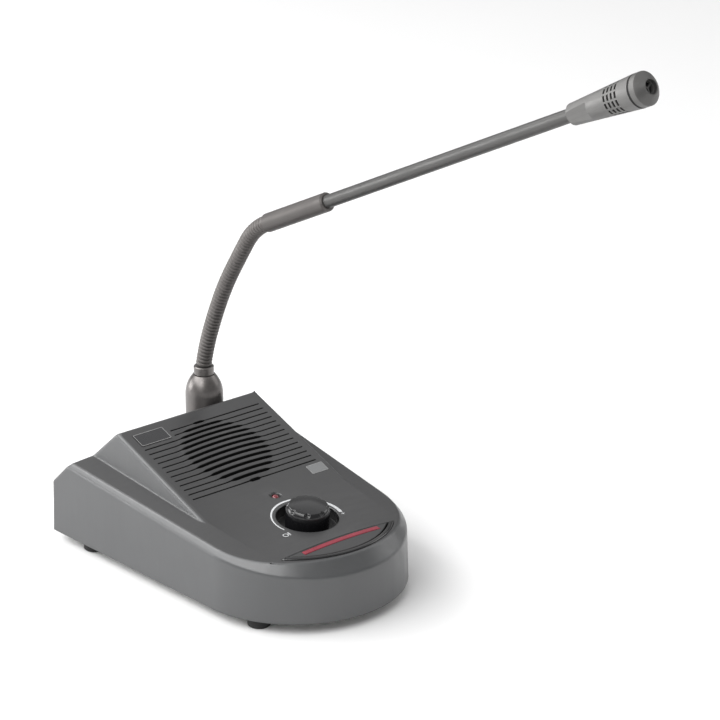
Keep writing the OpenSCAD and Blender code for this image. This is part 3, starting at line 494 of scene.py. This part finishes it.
@cache
def finish(name):
    """One of the object's finishes by name, made at its first use."""
    c = bpy.context.scene.intercom_colours
    recipes = {
        "side_grey": lambda: plastic("side_grey_plastic", c.side, 0.34, soft=1.8 * MM,
                                     Specular_IOR_Level=0.8),
        "deck_grey": lambda: plastic("deck_grey_plastic", c.deck, 0.36, soft=1.2 * MM,
                                     Specular_IOR_Level=0.7),
        # Painted shade: a darker copy of the deck plastic for the knob's well, which is the same plastic in shadow
        "well_painted_shade": lambda: plastic("well_painted_shade_plastic", tinted(c.deck, 0.35), 0.32, soft=0.6 * MM),
        # Painted shade: a much darker copy of the deck plastic for the grille's slots and grooves, which are the
        # same plastic in shadow
        "slot_painted_shade": lambda: plastic("slot_painted_shade_plastic", tinted(c.deck, 0.15), 0.6, wear=0.0),
        "button_grey": lambda: plastic("button_grey_plastic", tinted(c.deck, 1.1), 0.40, soft=0.5 * MM),
        "knob_black": lambda: plastic("knob_black_plastic", c.knob, 0.24, scale=900.0, strength=0.05,
                                      wear=0.5, Coat_Weight=0.35, Coat_Roughness=0.18),
        "black_plastic": lambda: plastic("socket_black_plastic", (0.02, 0.02, 0.021), 0.42, wear=0.3),
        "rubber": lambda: plastic("foot_rubber", (0.016, 0.016, 0.016), 0.72, scale=1100.0, strength=0.5),
        "ferrule": lambda: metal("ferrule_gunmetal", tinted(c.neck, 1.25), 0.34, lines=0.2, grain=0.7,
                                 metallic=0.8, Coat_Weight=0.3, Coat_Roughness=0.3),
        "hose": lambda: metal("hose_gunmetal", c.neck, 0.46, lines=0.2, grain=0.7, metallic=0.6),
        "sleeve": lambda: metal("sleeve_gunmetal", tinted(c.neck, 0.85), 0.48, BOOM, lines=0.2, grain=0.6,
                                metallic=0.6),
        "tube": lambda: metal("tube_satin", c.boom, 0.42, BOOM, lines=0.14, metallic=0.7),
        "capsule": lambda: metal("capsule_satin", tinted(c.boom, 1.8), 0.50, BOOM, lines=0.35, grain=0.8,
                                 metallic=0.6),
        "cap": lambda: metal("cap_turned", tinted(c.boom, 1.6), 0.46, BOOM, lines=0.2, scale=1600.0,
                             stretch=6.0, metallic=0.8),
        "gauze": lambda: metal("capsule_gauze_wire", (0.05, 0.05, 0.05), 0.5, BOOM, lines=0.6, grain=0.9),
        "steel": lambda: metal("plated_steel_sheet", (0.55, 0.55, 0.54), 0.34, lines=0.15, grain=0.5),
        "copper": lambda: metal("coil_copper", (0.72, 0.36, 0.16), 0.35, lines=0.2),
        "capacitor": lambda: plastic("capacitor_sleeve_blue", (0.012, 0.018, 0.07), 0.28, wear=0.1,
                                     strength=0.05),
        "gloss": lambda: gloss_finish("bead_gloss_black", (0.010, 0.010, 0.011)),
        "badge": lambda: gloss_finish("badge_gloss_black", (0.014, 0.014, 0.016), 0.2),
        "trim": lambda: metal("badge_trim_satin", (0.42, 0.42, 0.42), 0.4, lines=0.1, grain=0.4),
        "label": lambda: plastic("label_grey_film", (0.19, 0.193, 0.196), 0.38, strength=0.1, wear=0.2),
        "cloth": cloth_finish,
        "board": board_finish,
        "lamp": lamp_red_finish,
        "bar": lambda: light_bar_finish(c.lens),
        "print": print_finish,
        "floor": floor_finish,
    }
    return recipes[name]()


SLOT_FINISH = {
    "housing_grey": "side_grey", "plated_steel": "steel", "black_rubber": "rubber", "black_cloth": "cloth",
    "black_plastic": "black_plastic", "copper_wire": "copper", "circuit_board": "board",
    "capacitor_sleeve": "capacitor", "knob_black": "knob_black", "gloss_black": "gloss",
    "lamp_red": "lamp", "light_bar_red": "bar", "gunmetal": "sleeve", "satin_grey": "tube",
}
NODE_FINISH = {
    "neck_ferrule": "ferrule", "hose_collar": "ferrule", "badge_plate": "badge", "capsule_gauze": "gauze",
    "front_gauze": "gauze", "capsule_cap": "cap", "capsule_body": "capsule", "cap_guard": "capsule",
    "talk_button": "button_grey",
}


# ---- Mesh helpers ----


def grid_quads(rows, cols, closed):
    """Quads of a grid of points, row by row; closed joins each row's end to its start."""
    r = np.arange(rows - 1)[:, None]
    c = np.arange(cols if closed else cols - 1)[None, :]
    after = (c + 1) % cols
    return np.stack([r * cols + c, r * cols + after, (r + 1) * cols + after, (r + 1) * cols + c],
                    axis=-1).reshape(-1, 4)


def new_object(name, data):
    """Object linked to the scene."""
    made = bpy.data.objects.new(name, data)
    bpy.context.scene.collection.objects.link(made)
    return made


def new_piece(name, mesh, finish_name, body=None):
    """Object of a finished mesh with its finish, riding on a body when one is given."""
    piece = new_object(name, mesh)
    if not piece.data.materials:
        piece.data.materials.append(finish(finish_name))
    if body:
        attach(piece, body)
    return piece


def outward(mesh):
    """Merges doubles and turns all faces outwards."""
    merge = 1e-7
    bm = bmesh.new()
    bm.from_mesh(mesh)
    bmesh.ops.remove_doubles(bm, verts=bm.verts, dist=merge)
    bmesh.ops.dissolve_degenerate(bm, edges=bm.edges, dist=merge)
    bmesh.ops.recalc_face_normals(bm, faces=bm.faces)
    bm.to_mesh(mesh)
    bm.free()
    return mesh


def shade(mesh, angle):
    """Smooth shading that breaks at edges sharper than the angle."""
    mesh.shade_smooth()
    mesh.set_sharp_from_angle(angle=radians(angle))
    return mesh


def grid_mesh(name, points, closed=True, caps=False, angle=35):
    """Mesh of a grid of points (rows, cols, 3); caps closes the first and the last row with a face."""
    rows, cols = points.shape[:2]
    faces = grid_quads(rows, cols, closed).tolist()
    if caps:
        faces.append(list(range(cols)))
        faces.append(list(range((rows - 1) * cols, rows * cols)))
    mesh = bpy.data.meshes.new(name)
    mesh.from_pydata(points.reshape(-1, 3).tolist(), [], faces)
    return shade(outward(mesh), angle)


def grid_piece(name, points, finish_name, slot, body=None, **settings):
    """Piece made of a grid of points; settings go to its mesh."""
    return new_piece(name, grid_mesh(name, points, **settings), finish_name, body)


def lathe(profile, steps):
    """Points of a profile (radius, height) turned round the up axis, one row for each profile point."""
    a = np.linspace(0, 2 * pi, steps, endpoint=False)
    r, z = profile[:, 0][:, None], profile[:, 1][:, None]
    return np.stack([r * np.cos(a), r * np.sin(a), z + 0 * a], axis=-1)


def node_copy(node, name, finish_name, body, angle=30, flat=0.4):
    """Merged, smooth-shaded copy of a CAD node that stands for it."""
    mesh = frame["nodes"][node].data.copy()
    mesh.name = name
    mesh.materials.clear()
    if "custom_normal" in mesh.attributes:
        mesh.attributes.remove(mesh.attributes["custom_normal"])
    bm = bmesh.new()
    bm.from_mesh(mesh)
    bmesh.ops.remove_doubles(bm, verts=bm.verts, dist=2e-6)
    bmesh.ops.dissolve_degenerate(bm, edges=bm.edges, dist=1e-6)
    if flat:
        bmesh.ops.dissolve_limit(bm, angle_limit=radians(flat), verts=bm.verts, edges=bm.edges)
    bm.to_mesh(mesh)
    bm.free()
    shade(mesh, angle)
    piece = new_piece(name, mesh, finish_name, body)
    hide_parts(node)
    return piece


def round_edges(piece, width, chosen, segments=2):
    """Bevel on convex edges, with the shading evened out over the larger faces.

    chosen takes the edges' middles and outward directions and gives weights from 0 to 1.
    """
    least_bend = radians(24)
    mesh = piece.data
    bm = bmesh.new()
    bm.from_mesh(mesh)
    middles = np.array([(e.verts[0].co + e.verts[1].co) / 2 for e in bm.edges])
    bends = np.array([e.calc_face_angle_signed(0.0) if e.is_manifold else 0.0 for e in bm.edges])
    normals = np.array([sum((f.normal for f in e.link_faces), Vector()) for e in bm.edges])
    weights = np.where(bends > least_bend, chosen(middles, normals), 0.0).astype(np.float32)
    bm.free()
    attribute = mesh.attributes.new("bevel_weight_edge", "FLOAT", "EDGE")
    attribute.data.foreach_set("value", weights)
    bevel = piece.modifiers.new("round_edges", "BEVEL")
    bevel.limit_method = "WEIGHT"
    bevel.width = width
    bevel.segments = segments
    bevel.use_clamp_overlap = False
    weighted = piece.modifiers.new("even_normals", "WEIGHTED_NORMAL")
    weighted.keep_sharp = True
    weighted.weight = 80


# ---- Pieces ----


def knob_points(radius, height, dimples, steps=324):
    """Knob: an upright wall, a quarter-round shoulder cut by a wide flat crown, and inside a hollow skirt.

    Round the shoulder lies a ring of dimples: each sinks the surface along its normal by a depth that falls
    from the dimple's middle to its rim as one minus the square of the distance.
    """
    shoulder, crown, crown_low, skirt = 6 * MM, 45 * MM, 0.3 * MM, 2.4 * MM
    dimple_depth, dimple_radius, dimple_lean = 1.05 * MM, 1.75 * MM, radians(56)
    arc = np.linspace(0, pi / 2, 40)
    rim = radius - shoulder
    outer = np.stack([rim + shoulder * np.cos(arc), height - shoulder + shoulder * np.sin(arc)], axis=-1)
    flat_r = np.linspace(rim, 0, 16)[1:]
    flat = np.stack([flat_r, np.full(flat_r.shape, height)], axis=-1)
    top = np.concatenate([outer, flat])
    crown_z = height - crown_low - (crown - np.sqrt(crown ** 2 - top[:, 0] ** 2))
    top[:, 1] = np.minimum(top[:, 1], crown_z)
    edge = 0.35 * MM
    inside = height - 2 * shoulder + 4 * MM
    below = np.array([[0, inside], [radius - skirt, inside], [radius - skirt, edge],
                      [radius - skirt + edge, 0], [radius - edge, 0],
                      [radius - 0.3 * edge, 0.3 * edge], [radius, edge]])
    wall = np.stack([np.full(6, radius), np.linspace(edge, height - shoulder, 8)[1:-1]], axis=-1)
    points = lathe(np.concatenate([below, wall, top]), steps)
    down, sideways = np.gradient(points, axis=0), np.roll(points, -1, 1) - np.roll(points, 1, 1)
    normal = np.cross(sideways, down)
    normal /= np.maximum(np.linalg.norm(normal, axis=-1, keepdims=True), 1e-12)
    at = (np.arange(dimples) + 0.1) * 2 * pi / dimples
    reach = rim + shoulder * sin(dimple_lean)
    level = np.full(dimples, height - shoulder + shoulder * cos(dimple_lean))
    middle = np.stack([reach * np.cos(at), reach * np.sin(at), level], axis=-1)
    apart = np.linalg.norm(points[:, :, None] - middle, axis=-1).min(-1)
    sink = dimple_depth * np.clip(1 - (apart / dimple_radius) ** 2, 0, 1)
    return points - normal * sink[..., None]


def printed_arc(radius, start, stop, thin, wide, steps=120):
    """Closed strip on the crowned deck: its width grows steadily with the angle.

    The section is a flat rectangle, set lower by the deck's crown drop.
    """
    a = np.linspace(radians(start), radians(stop), steps)
    half = np.linspace(thin, wide, steps) / 2
    inner, outer = radius - half, radius + half
    low, high = -0.05 * MM, 0.045 * MM
    rows = []
    for r, z in ((inner, low), (inner, high), (outer, high), (outer, low)):
        x, y = r * np.cos(a), r * np.sin(a)
        rows.append(np.stack([x, y, z - crown_drop(x)], axis=-1))
    return np.stack(rows, axis=1)


def lens_points(length, width, pitch, proud):
    """Light bar: a rounded ridge whose height swells and falls along the bar in small cross ribs.

    The ridge stands proud where the absolute sine of the place over the pitch is one, and falls by the rib's
    height between. Across the bar it falls with the sixth power of the distance from the middle.
    """
    rib_height, depth = 0.14 * MM, 1.6 * MM
    x = np.linspace(-length / 2, length / 2, int(length / pitch * 10) + 1)
    across = np.linspace(-1, 1, 15)
    rib = rib_height * np.abs(np.sin(pi * x / pitch)) - rib_height
    ends = np.clip(1 - (np.abs(x) / (length / 2)) ** 60, 0, 1)
    top = (proud + rib[:, None]) * (1 - across[None, :] ** 6) * ends[:, None]
    y = np.broadcast_to(across * width / 2, top.shape)
    xs = np.broadcast_to(x[:, None], top.shape)
    surface = np.stack([xs, y, top - crown_drop(xs)], axis=-1)
    floor = surface[:, [-1, 0]].copy()
    floor[..., 2] = -crown_drop(xs[:, :2]) - depth
    return np.concatenate([surface, floor], axis=1)


def rounded_rectangle(width, height, radius, steps=6):
    """Outline of a rectangle with round corners, anticlockwise, as (n, 2) points."""
    quarter = np.linspace(0, pi / 2, steps)
    corners = []
    for i, (sx, sy) in enumerate(((1, 1), (-1, 1), (-1, -1), (1, -1))):
        a = quarter + i * pi / 2
        corners.append(np.stack([sx * (width / 2 - radius) + radius * np.cos(a),
                                 sy * (height / 2 - radius) + radius * np.sin(a)], axis=-1))
    return np.concatenate(corners)


def outline_rows(width, height, section):
    """Rows of points, one for each inset, height and corner radius of the section."""
    rows = []
    for inset, z, corner in section:
        outline = rounded_rectangle(width - 2 * inset, height - 2 * inset, corner)
        rows.append(np.concatenate([outline, np.full((len(outline), 1), z)], axis=1))
    return np.stack(rows, axis=0)


def raised_frame(width, height, bar, low, high, radius):
    """Closed ring along a rounded rectangle with a softly domed section of six points."""
    least_corner = 0.05 * MM
    profile = ((0, low), (0, 0.6 * high), (0.35 * bar, high), (0.65 * bar, high), (bar, 0.6 * high),
               (bar, low), (0, low))
    return outline_rows(width, height, [(i, z, max(radius - i, least_corner)) for i, z in profile])


def thin_plate(width, height, low, high, radius):
    """Plate with a rounded outline and a small chamfer round its upper side."""
    chamfer = 0.12 * MM
    profile = ((0, low), (0, high - chamfer), (chamfer, high))
    return outline_rows(width, height, [(i, z, radius - i / 2) for i, z in profile])


def lettering(name, text, size, turn, at):
    """Generic marking cut from flat letters, laid on the crowned deck at a place and turn."""
    curve = bpy.data.curves.new(name, "FONT")
    curve.body = text
    curve.size = size
    curve.align_x = "CENTER"
    curve.align_y = "CENTER"
    curve.extrude = 0.04 * MM
    holder = new_object(name + "_text", curve)
    bpy.context.view_layer.update()
    mesh = bpy.data.meshes.new_from_object(holder)
    bpy.data.objects.remove(holder)
    bpy.data.curves.remove(curve)
    mesh.materials.clear()
    lift = 0.02 * MM - crown_drop(at[0])
    spot = Matrix.Translation((at[0], at[1], lift)) @ Matrix.Rotation(turn, 4, "Z")
    mesh.transform(DECK.matrix() @ spot)
    mesh.name = name
    new_piece(name, outward(mesh), "print", "base")


def hose_centreline():
    """Points, directions and lengths along the hose at rest: one circular arc between each two joints.

    Each arc starts in the direction in which the last one ended, so its turn is twice the angle between that
    direction and the chord to the next joint.
    """
    arc_points, least_turn = 120, 1e-6
    stops = [joint_place(f"neck_bend_{k}")[0] for k in range(1, 7)]
    side = joint_place("neck_bend_1")[1]
    way = Vector(BOOM.up)
    marks, arcs = [], []
    for start, stop in zip(reversed(stops[:-1]), reversed(stops[1:])):
        chord = Vector(stop - start)
        turn = 2 * chord.angle(way)
        heading = chord.normalized()
        first = Matrix.Rotation(-turn, 3, Vector(side)) @ way
        other = Matrix.Rotation(turn, 3, Vector(side)) @ way
        if (first - heading).length > (other - heading).length:
            turn, first = -turn, other
        arcs.append((start, first, turn, chord.length))
        way = first
    foot = min(float(((node_points("hose_collar") - stops[0]) @ np.array(way)).max()), 0.0)
    way = np.array(way)
    runs = [((stops[0] + foot * way)[None], way[None], np.array([foot]))]
    total = 0.0
    for start, first, turn, chord in reversed(arcs):
        marks.append(total)
        turn = np.copysign(max(abs(turn), least_turn), turn)
        arc = chord * (turn / 2) / sin(turn / 2)
        share = np.linspace(0, 1, arc_points, endpoint=False)
        angle = share * turn
        first = np.array(first)
        bend = np.cross(side, first)
        swing = np.sin(angle)[:, None] * first + (1 - np.cos(angle))[:, None] * bend
        ways = np.cos(angle)[:, None] * first + np.sin(angle)[:, None] * bend
        runs.append((start + arc / turn * swing, ways, total + share * arc))
        total += arc
    marks.append(total)
    runs.append((stops[-1][None], BOOM.up[None], np.array([total])))
    points, ways, lengths = (np.concatenate(part) for part in zip(*runs))
    return points, ways, lengths, marks, side


def hose_points(line, start, stop, pitch, steps=40):
    """Stretch of ribbed hose: round sections along the centreline, wider at each rib.

    The radius is the core plus the rib height times a low power of the absolute sine of the place over the
    pitch, which gives broad flat ribs with narrow valleys.
    """
    core, rib_height, flatness = 4.15 * MM, 1.0 * MM, 0.4
    points, ways, lengths, _, side = line
    s = np.arange(start, stop + pitch / 64, pitch / 16)
    s[-1] = stop
    middle = np.stack([np.interp(s, lengths, points[:, i]) for i in range(3)], axis=-1)
    way = np.stack([np.interp(s, lengths, ways[:, i]) for i in range(3)], axis=-1)
    way /= np.linalg.norm(way, axis=-1, keepdims=True)
    front = np.cross(way, side)
    radius = core + rib_height * np.abs(np.sin(pi * s / pitch)) ** flatness
    a = np.linspace(0, 2 * pi, steps, endpoint=False)
    ring = np.cos(a)[None, :, None] * side + np.sin(a)[None, :, None] * front[:, None, :]
    return middle[:, None, :] + radius[:, None, None] * ring


class INTERCOM_OT_base(Operator):
    """Round the housing's edges, give its walls and deck their plastic, and paint shade into the knob's well and
    the grille's slots
    """

    bl_idname = "intercom.base"
    bl_label = "Base"

    def execute(self, context):
        sizes = context.scene.intercom_sizes
        housing = node_copy("top_housing", "moulded_housing", "side_grey", "base")
        mesh = housing.data
        # Slots 2 and 3 are darker copies of the deck plastic: painted shade in the knob's well and in the grille's
        # slots
        for look in ("deck_grey", "well_painted_shade", "slot_painted_shade"):  # material slots 1, 2 and 3
            mesh.materials.append(finish(look))
        middles = np.array([p.center for p in mesh.polygons])
        normals = np.array([p.normal for p in mesh.polygons])
        deck, panel = DECK.local(middles), BADGE.local(middles)
        well_radius, well_depth, slot_depth, steep, level = 20.6 * MM, 0.6 * MM, 4 * MM, 0.8, 0.86
        panel_half, panel_low, panel_high = 50 * MM, -72 * MM, 8 * MM
        below_deck = deck[:, 2] + crown_drop(deck[:, 0]) < -well_depth
        # Faces of the knob's well take the darker copy of the deck plastic: painted shade
        in_well = (np.hypot(deck[:, 0], deck[:, 1]) < well_radius) & below_deck
        in_panel = (np.abs(middles[:, 0]) < panel_half) & (panel[:, 1] > panel_low) \
            & (panel[:, 1] < panel_high)
        # Steep faces inside the grille's slots take the much darker copy of the deck plastic: painted shade
        in_slot = in_panel & (panel[:, 2] > -slot_depth) & (normals @ BADGE.up < steep)
        looks = np.select([in_well, in_slot, normals[:, 2] > level], [2, 3, 1], 0)
        mesh.polygons.foreach_set("material_index", looks.astype(np.int32))

        def outer_edges(middles, directions):
            """Full rounding on the outside, none at the openings, in the grille and inside."""
            grille_half, grille_low, grille_high, grille_depth = 49.5 * MM, -68 * MM, 10 * MM, 1.6 * MM
            opening_radius, opening_depth, rim_height, downwards = 22 * MM, 3 * MM, 6 * MM, -0.3
            button_back, arc_middle, arc_radius = -28 * MM, 11 * MM, 60.6 * MM
            deck, panel = DECK.local(middles), BADGE.local(middles)
            in_grille = (panel[:, 2] > -grille_depth) & (np.abs(middles[:, 0]) < grille_half) \
                & (panel[:, 1] > grille_low) & (panel[:, 1] < grille_high)
            inside = (directions[:, 2] < downwards) | (middles[:, 2] < rim_height)
            opening = (np.hypot(deck[:, 0], deck[:, 1]) < opening_radius) & (deck[:, 2] > -opening_depth)
            button = (deck[:, 1] < button_back) & (np.hypot(deck[:, 0], deck[:, 1] - arc_middle) < arc_radius)
            return np.where(in_grille | inside | opening | button, 0.0, 1.0)

        round_edges(housing, sizes.housing_edge, outer_edges, 3)
        button = node_copy("talk_button", "talk_button_cap", "button_grey", "talk", angle=24)

        def button_edges(middles, directions):
            """Only the upper rim of the button."""
            high = DECK.local(middles)[:, 2] + crown_drop(middles[:, 0])
            return (high > -0.4 * MM).astype(float)

        round_edges(button, sizes.button_edge, button_edges, 2)
        bead = node_copy("talk_frame", "talk_bead", "gloss", "base", angle=24)

        def bead_edges(middles, directions):
            """All edges but those of the bead's foot."""
            return (DECK.local(middles)[:, 2] > -5 * MM).astype(float)

        round_edges(bead, 1.1 * MM, bead_edges, 3)
        return {"FINISHED"}


class INTERCOM_OT_knob(Operator):
    """Turn the volume knob with its ring of dimples"""

    bl_idname = "intercom.knob"
    bl_label = "Volume knob"

    def execute(self, context):
        sizes = context.scene.intercom_sizes
        points = knob_points(sizes.knob_radius, sizes.knob_height, sizes.knob_dimples)
        points[..., 2] += DECK.local(node_points("volume_knob"))[:, 2].min()
        knob = grid_piece("volume_knob_cap", DECK.put(points), "knob_black", "knob_black", "volume", angle=50)
        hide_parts("volume_knob")
        return {"FINISHED"}


class INTERCOM_OT_markings(Operator):
    """Print the widening scale and its end marks round the knob"""

    bl_idname = "intercom.markings"
    bl_label = "Printed scale"

    def execute(self, context):
        sizes = context.scene.intercom_sizes
        arc = printed_arc(sizes.scale_radius, 192.5, -16, 0.6 * MM, 2.3 * MM)
        grid_piece("volume_scale", DECK.put(arc), "print", "housing_grey", "base", caps=True)
        for name, text, size, reach, angle, turn in (
                ("scale_start_mark", "OFF", 5.2 * MM, 24.8 * MM, 205, 4),
                ("scale_end_mark", "+", 4.8 * MM, 22.8 * MM, -22, 0)):
            a = radians(angle)
            lettering(name, text, size, radians(turn), (reach * cos(a), reach * sin(a)))
        return {"FINISHED"}


class INTERCOM_OT_light_bar(Operator):
    """Shape the ribbed red lens of the talk button"""

    bl_idname = "intercom.light_bar"
    bl_label = "Light bar"

    def execute(self, context):
        sizes = context.scene.intercom_sizes
        low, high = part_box("light_bar")
        points = lens_points(high.x - low.x, 3.5 * MM, sizes.lens_pitch, 0.33 * MM)
        points[..., 1] += DECK.local(box_centre("light_bar"))[1]
        bar = grid_piece("light_bar_ribs", DECK.put(points), "bar", "light_bar_red", "talk",
                         caps=True, angle=60)
        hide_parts("light_bar")
        return {"FINISHED"}


class INTERCOM_OT_plates(Operator):
    """Frame the bare badge and lay the bare label on the panel"""

    bl_idname = "intercom.plates"
    bl_label = "Badge and label"

    def execute(self, context):
        ring = raised_frame(22.4 * MM, 11.2 * MM, 0.45 * MM, -0.2 * MM, 0.12 * MM, 0.5 * MM)
        grid_piece("badge_frame", BADGE.put(ring), "trim", "satin_grey", "base", angle=40)
        label_at = Place(BADGE.put((79.85 * MM, -68 * MM, -0.3 * MM)), BADGE.along, BADGE.up)
        plate = thin_plate(12.4 * MM, 8.0 * MM, -0.05 * MM, 0.12 * MM, 0.6 * MM)
        grid_piece("label_plate", label_at.put(plate), "label", "housing_grey", "base", caps=True, angle=20)
        ring = raised_frame(12.4 * MM, 8.0 * MM, 0.35 * MM, 0.0, 0.17 * MM, 0.6 * MM)
        grid_piece("label_frame", label_at.put(ring), "trim", "satin_grey", "base", angle=40)
        return {"FINISHED"}


class INTERCOM_OT_hose(Operator):
    """Carry the ribbed hose along the gooseneck at rest, in one smooth arc between each two joints"""

    bl_idname = "intercom.hose"
    bl_label = "Gooseneck hose"

    def execute(self, context):
        sizes = context.scene.intercom_sizes
        line = hose_centreline()
        points, _, lengths, marks, _ = line
        total = marks[-1]
        pitch = total / round(total / sizes.rib_pitch)
        middles = [round((marks[k] + marks[k + 1]) / 2 / pitch) * pitch for k in range(5)]
        cuts = [lengths[0], *middles, total]
        for k in range(6):
            ribs = hose_points(line, cuts[k], cuts[k + 1], pitch)
            piece = grid_piece(f"hose_ribs_{k + 1}", ribs, "hose", "gunmetal", caps=True, angle=70)
            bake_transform(piece)
            if k < 5:
                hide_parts(f"hose_segment_{k + 1}")
        return {"FINISHED"}


class INTERCOM_OT_boom(Operator):
    """Smooth the turned parts of the neck, the tube and the capsule"""

    bl_idname = "intercom.boom"
    bl_label = "Neck and capsule"

    def execute(self, context):
        for node, name, look, slot, body in (
                ("neck_ferrule", "ferrule_turned", "ferrule", "gunmetal", "base"),
                ("hose_collar", "collar_turned", "ferrule", "gunmetal", "collar"),
                ("sleeve", "sleeve_turned", "sleeve", "gunmetal", "boom"),
                ("boom_tube", "tube_drawn", "tube", "satin_grey", "boom"),
                ("capsule_body", "capsule_housing", "capsule", "satin_grey", "boom"),
                ("capsule_cap", "capsule_front_cap", "cap", "satin_grey", "boom")):
            node_copy(node, name, look, body, flat=0)
        return {"FINISHED"}


class INTERCOM_OT_finishes(Operator):
    """Give every carried-over solid the finish of its own material"""

    bl_idname = "intercom.finishes"
    bl_label = "Finishes"

    def execute(self, context):
        slots = {s["node"]: s["material_slot"] for s in frame["record"]["subparts"]}
        for name, obj in frame["nodes"].items():
            look = NODE_FINISH.get(name) or SLOT_FINISH[slots[name]]
            obj.data.materials.clear()
            obj.data.materials.append(finish(look))
        return {"FINISHED"}


def area_light(name, place, target, size, power):
    """Soft rectangular light at a place, turned towards its target."""
    data = bpy.data.lights.new(name, "AREA")
    data.shape = "RECTANGLE"
    data.size, data.size_y = size
    data.energy = power
    lamp = new_object(name, data)
    lamp.location = place
    lamp.rotation_euler = (Vector(target) - Vector(place)).to_track_quat("-Z", "Y").to_euler()


class INTERCOM_OT_stage(Operator):
    """Lay the floor and set the light and the camera"""

    bl_idname = "intercom.stage"
    bl_label = "Floor, light and camera"

    def execute(self, context):
        settings = context.scene.intercom_stage
        edge = 6.0
        corners = np.array([[(-edge, -edge, 0), (edge, -edge, 0)], [(-edge, edge, 0), (edge, edge, 0)]])
        floor = new_object("floor", grid_mesh("floor", corners, closed=False))
        floor.data.materials.append(finish("floor"))
        world = bpy.data.worlds.new("room")
        context.scene.world = world
        world.use_nodes = True
        tree = world.node_tree
        seen = add_node(tree, "LightPath").outputs["Is Camera Ray"]
        background = tree.nodes["Background"]
        background.inputs["Color"].default_value = (1, 1, 1, 1)
        feed(background, Strength=part_way(tree, seen, 0.0, 1.0, settings.sky))
        area_light("left_bank", (-1.15, 0.1, 1.2), (0, 0, 0.05), (2.5, 0.9), settings.bank_power)
        area_light("back", (-0.45, 1.5, 1.35), (0, 0, 0.06), (1.3, 0.8), settings.back_power)
        area_light("low_back", (-1.3, 1.7, 0.35), (0, 0, 0.06), (1.2, 0.5), settings.low_power)
        area_light("ceiling", (0.8, 1.0, 2.7), (0.8, 1.001, 0), (6.0, 6.0), settings.ceiling_power)
        area_light("right", (1.7, -0.5, 0.8), (0, 0, 0.06), (1.0, 1.0), settings.fill_power)
        camera = new_object("camera", bpy.data.cameras.new("camera"))
        camera.location = (-1.08854, -1.42992, 0.86584)
        camera.rotation_euler = (radians(67.9), 0, radians(-39.35))
        camera.data.lens = settings.lens
        camera.data.sensor_width = 36
        camera.data.clip_start = 0.01
        context.scene.camera = camera
        context.scene.view_settings.view_transform = "Standard"
        return {"FINISHED"}


class INTERCOM_PT_pieces(Panel):
    """Pieces, sizes and colours of the intercom station"""

    bl_label = "Intercom station"
    bl_idname = "INTERCOM_PT_pieces"
    bl_space_type = "VIEW_3D"
    bl_region_type = "UI"
    bl_category = "Intercom"

    def draw(self, context):
        for key in SETTINGS:
            owner = getattr(context.scene, key)
            column = self.layout.box().column()
            for setting in owner.__annotations__:
                column.prop(owner, setting)
        for operator in PIECES:
            self.layout.operator(operator.bl_idname)


PIECES = (INTERCOM_OT_finishes, INTERCOM_OT_base, INTERCOM_OT_knob, INTERCOM_OT_markings,
          INTERCOM_OT_light_bar, INTERCOM_OT_plates, INTERCOM_OT_hose, INTERCOM_OT_boom, INTERCOM_OT_stage)
SETTINGS = {"intercom_sizes": IntercomSizes, "intercom_colours": IntercomColours,
            "intercom_stage": IntercomStage}


def register():
    """Registers the settings, the operators and the panel."""
    for key, kind in SETTINGS.items():
        bpy.utils.register_class(kind)
        setattr(bpy.types.Scene, key, PointerProperty(type=kind))
    for kind in (*PIECES, INTERCOM_PT_pieces):
        bpy.utils.register_class(kind)


def unregister():
    """Takes everything that register made back out."""
    for kind in (INTERCOM_PT_pieces, *reversed(PIECES)):
        bpy.utils.unregister_class(kind)
    for key, kind in SETTINGS.items():
        delattr(bpy.types.Scene, key)
        bpy.utils.unregister_class(kind)


def main():
    """Makes every piece in order."""
    register()
    for operator in PIECES:
        group_name, call = operator.bl_idname.split(".")
        if "FINISHED" not in getattr(getattr(bpy.ops, group_name), call)():
            raise RuntimeError(f"{operator.bl_label} was not finished")


if __name__ == "__main__":
    main()
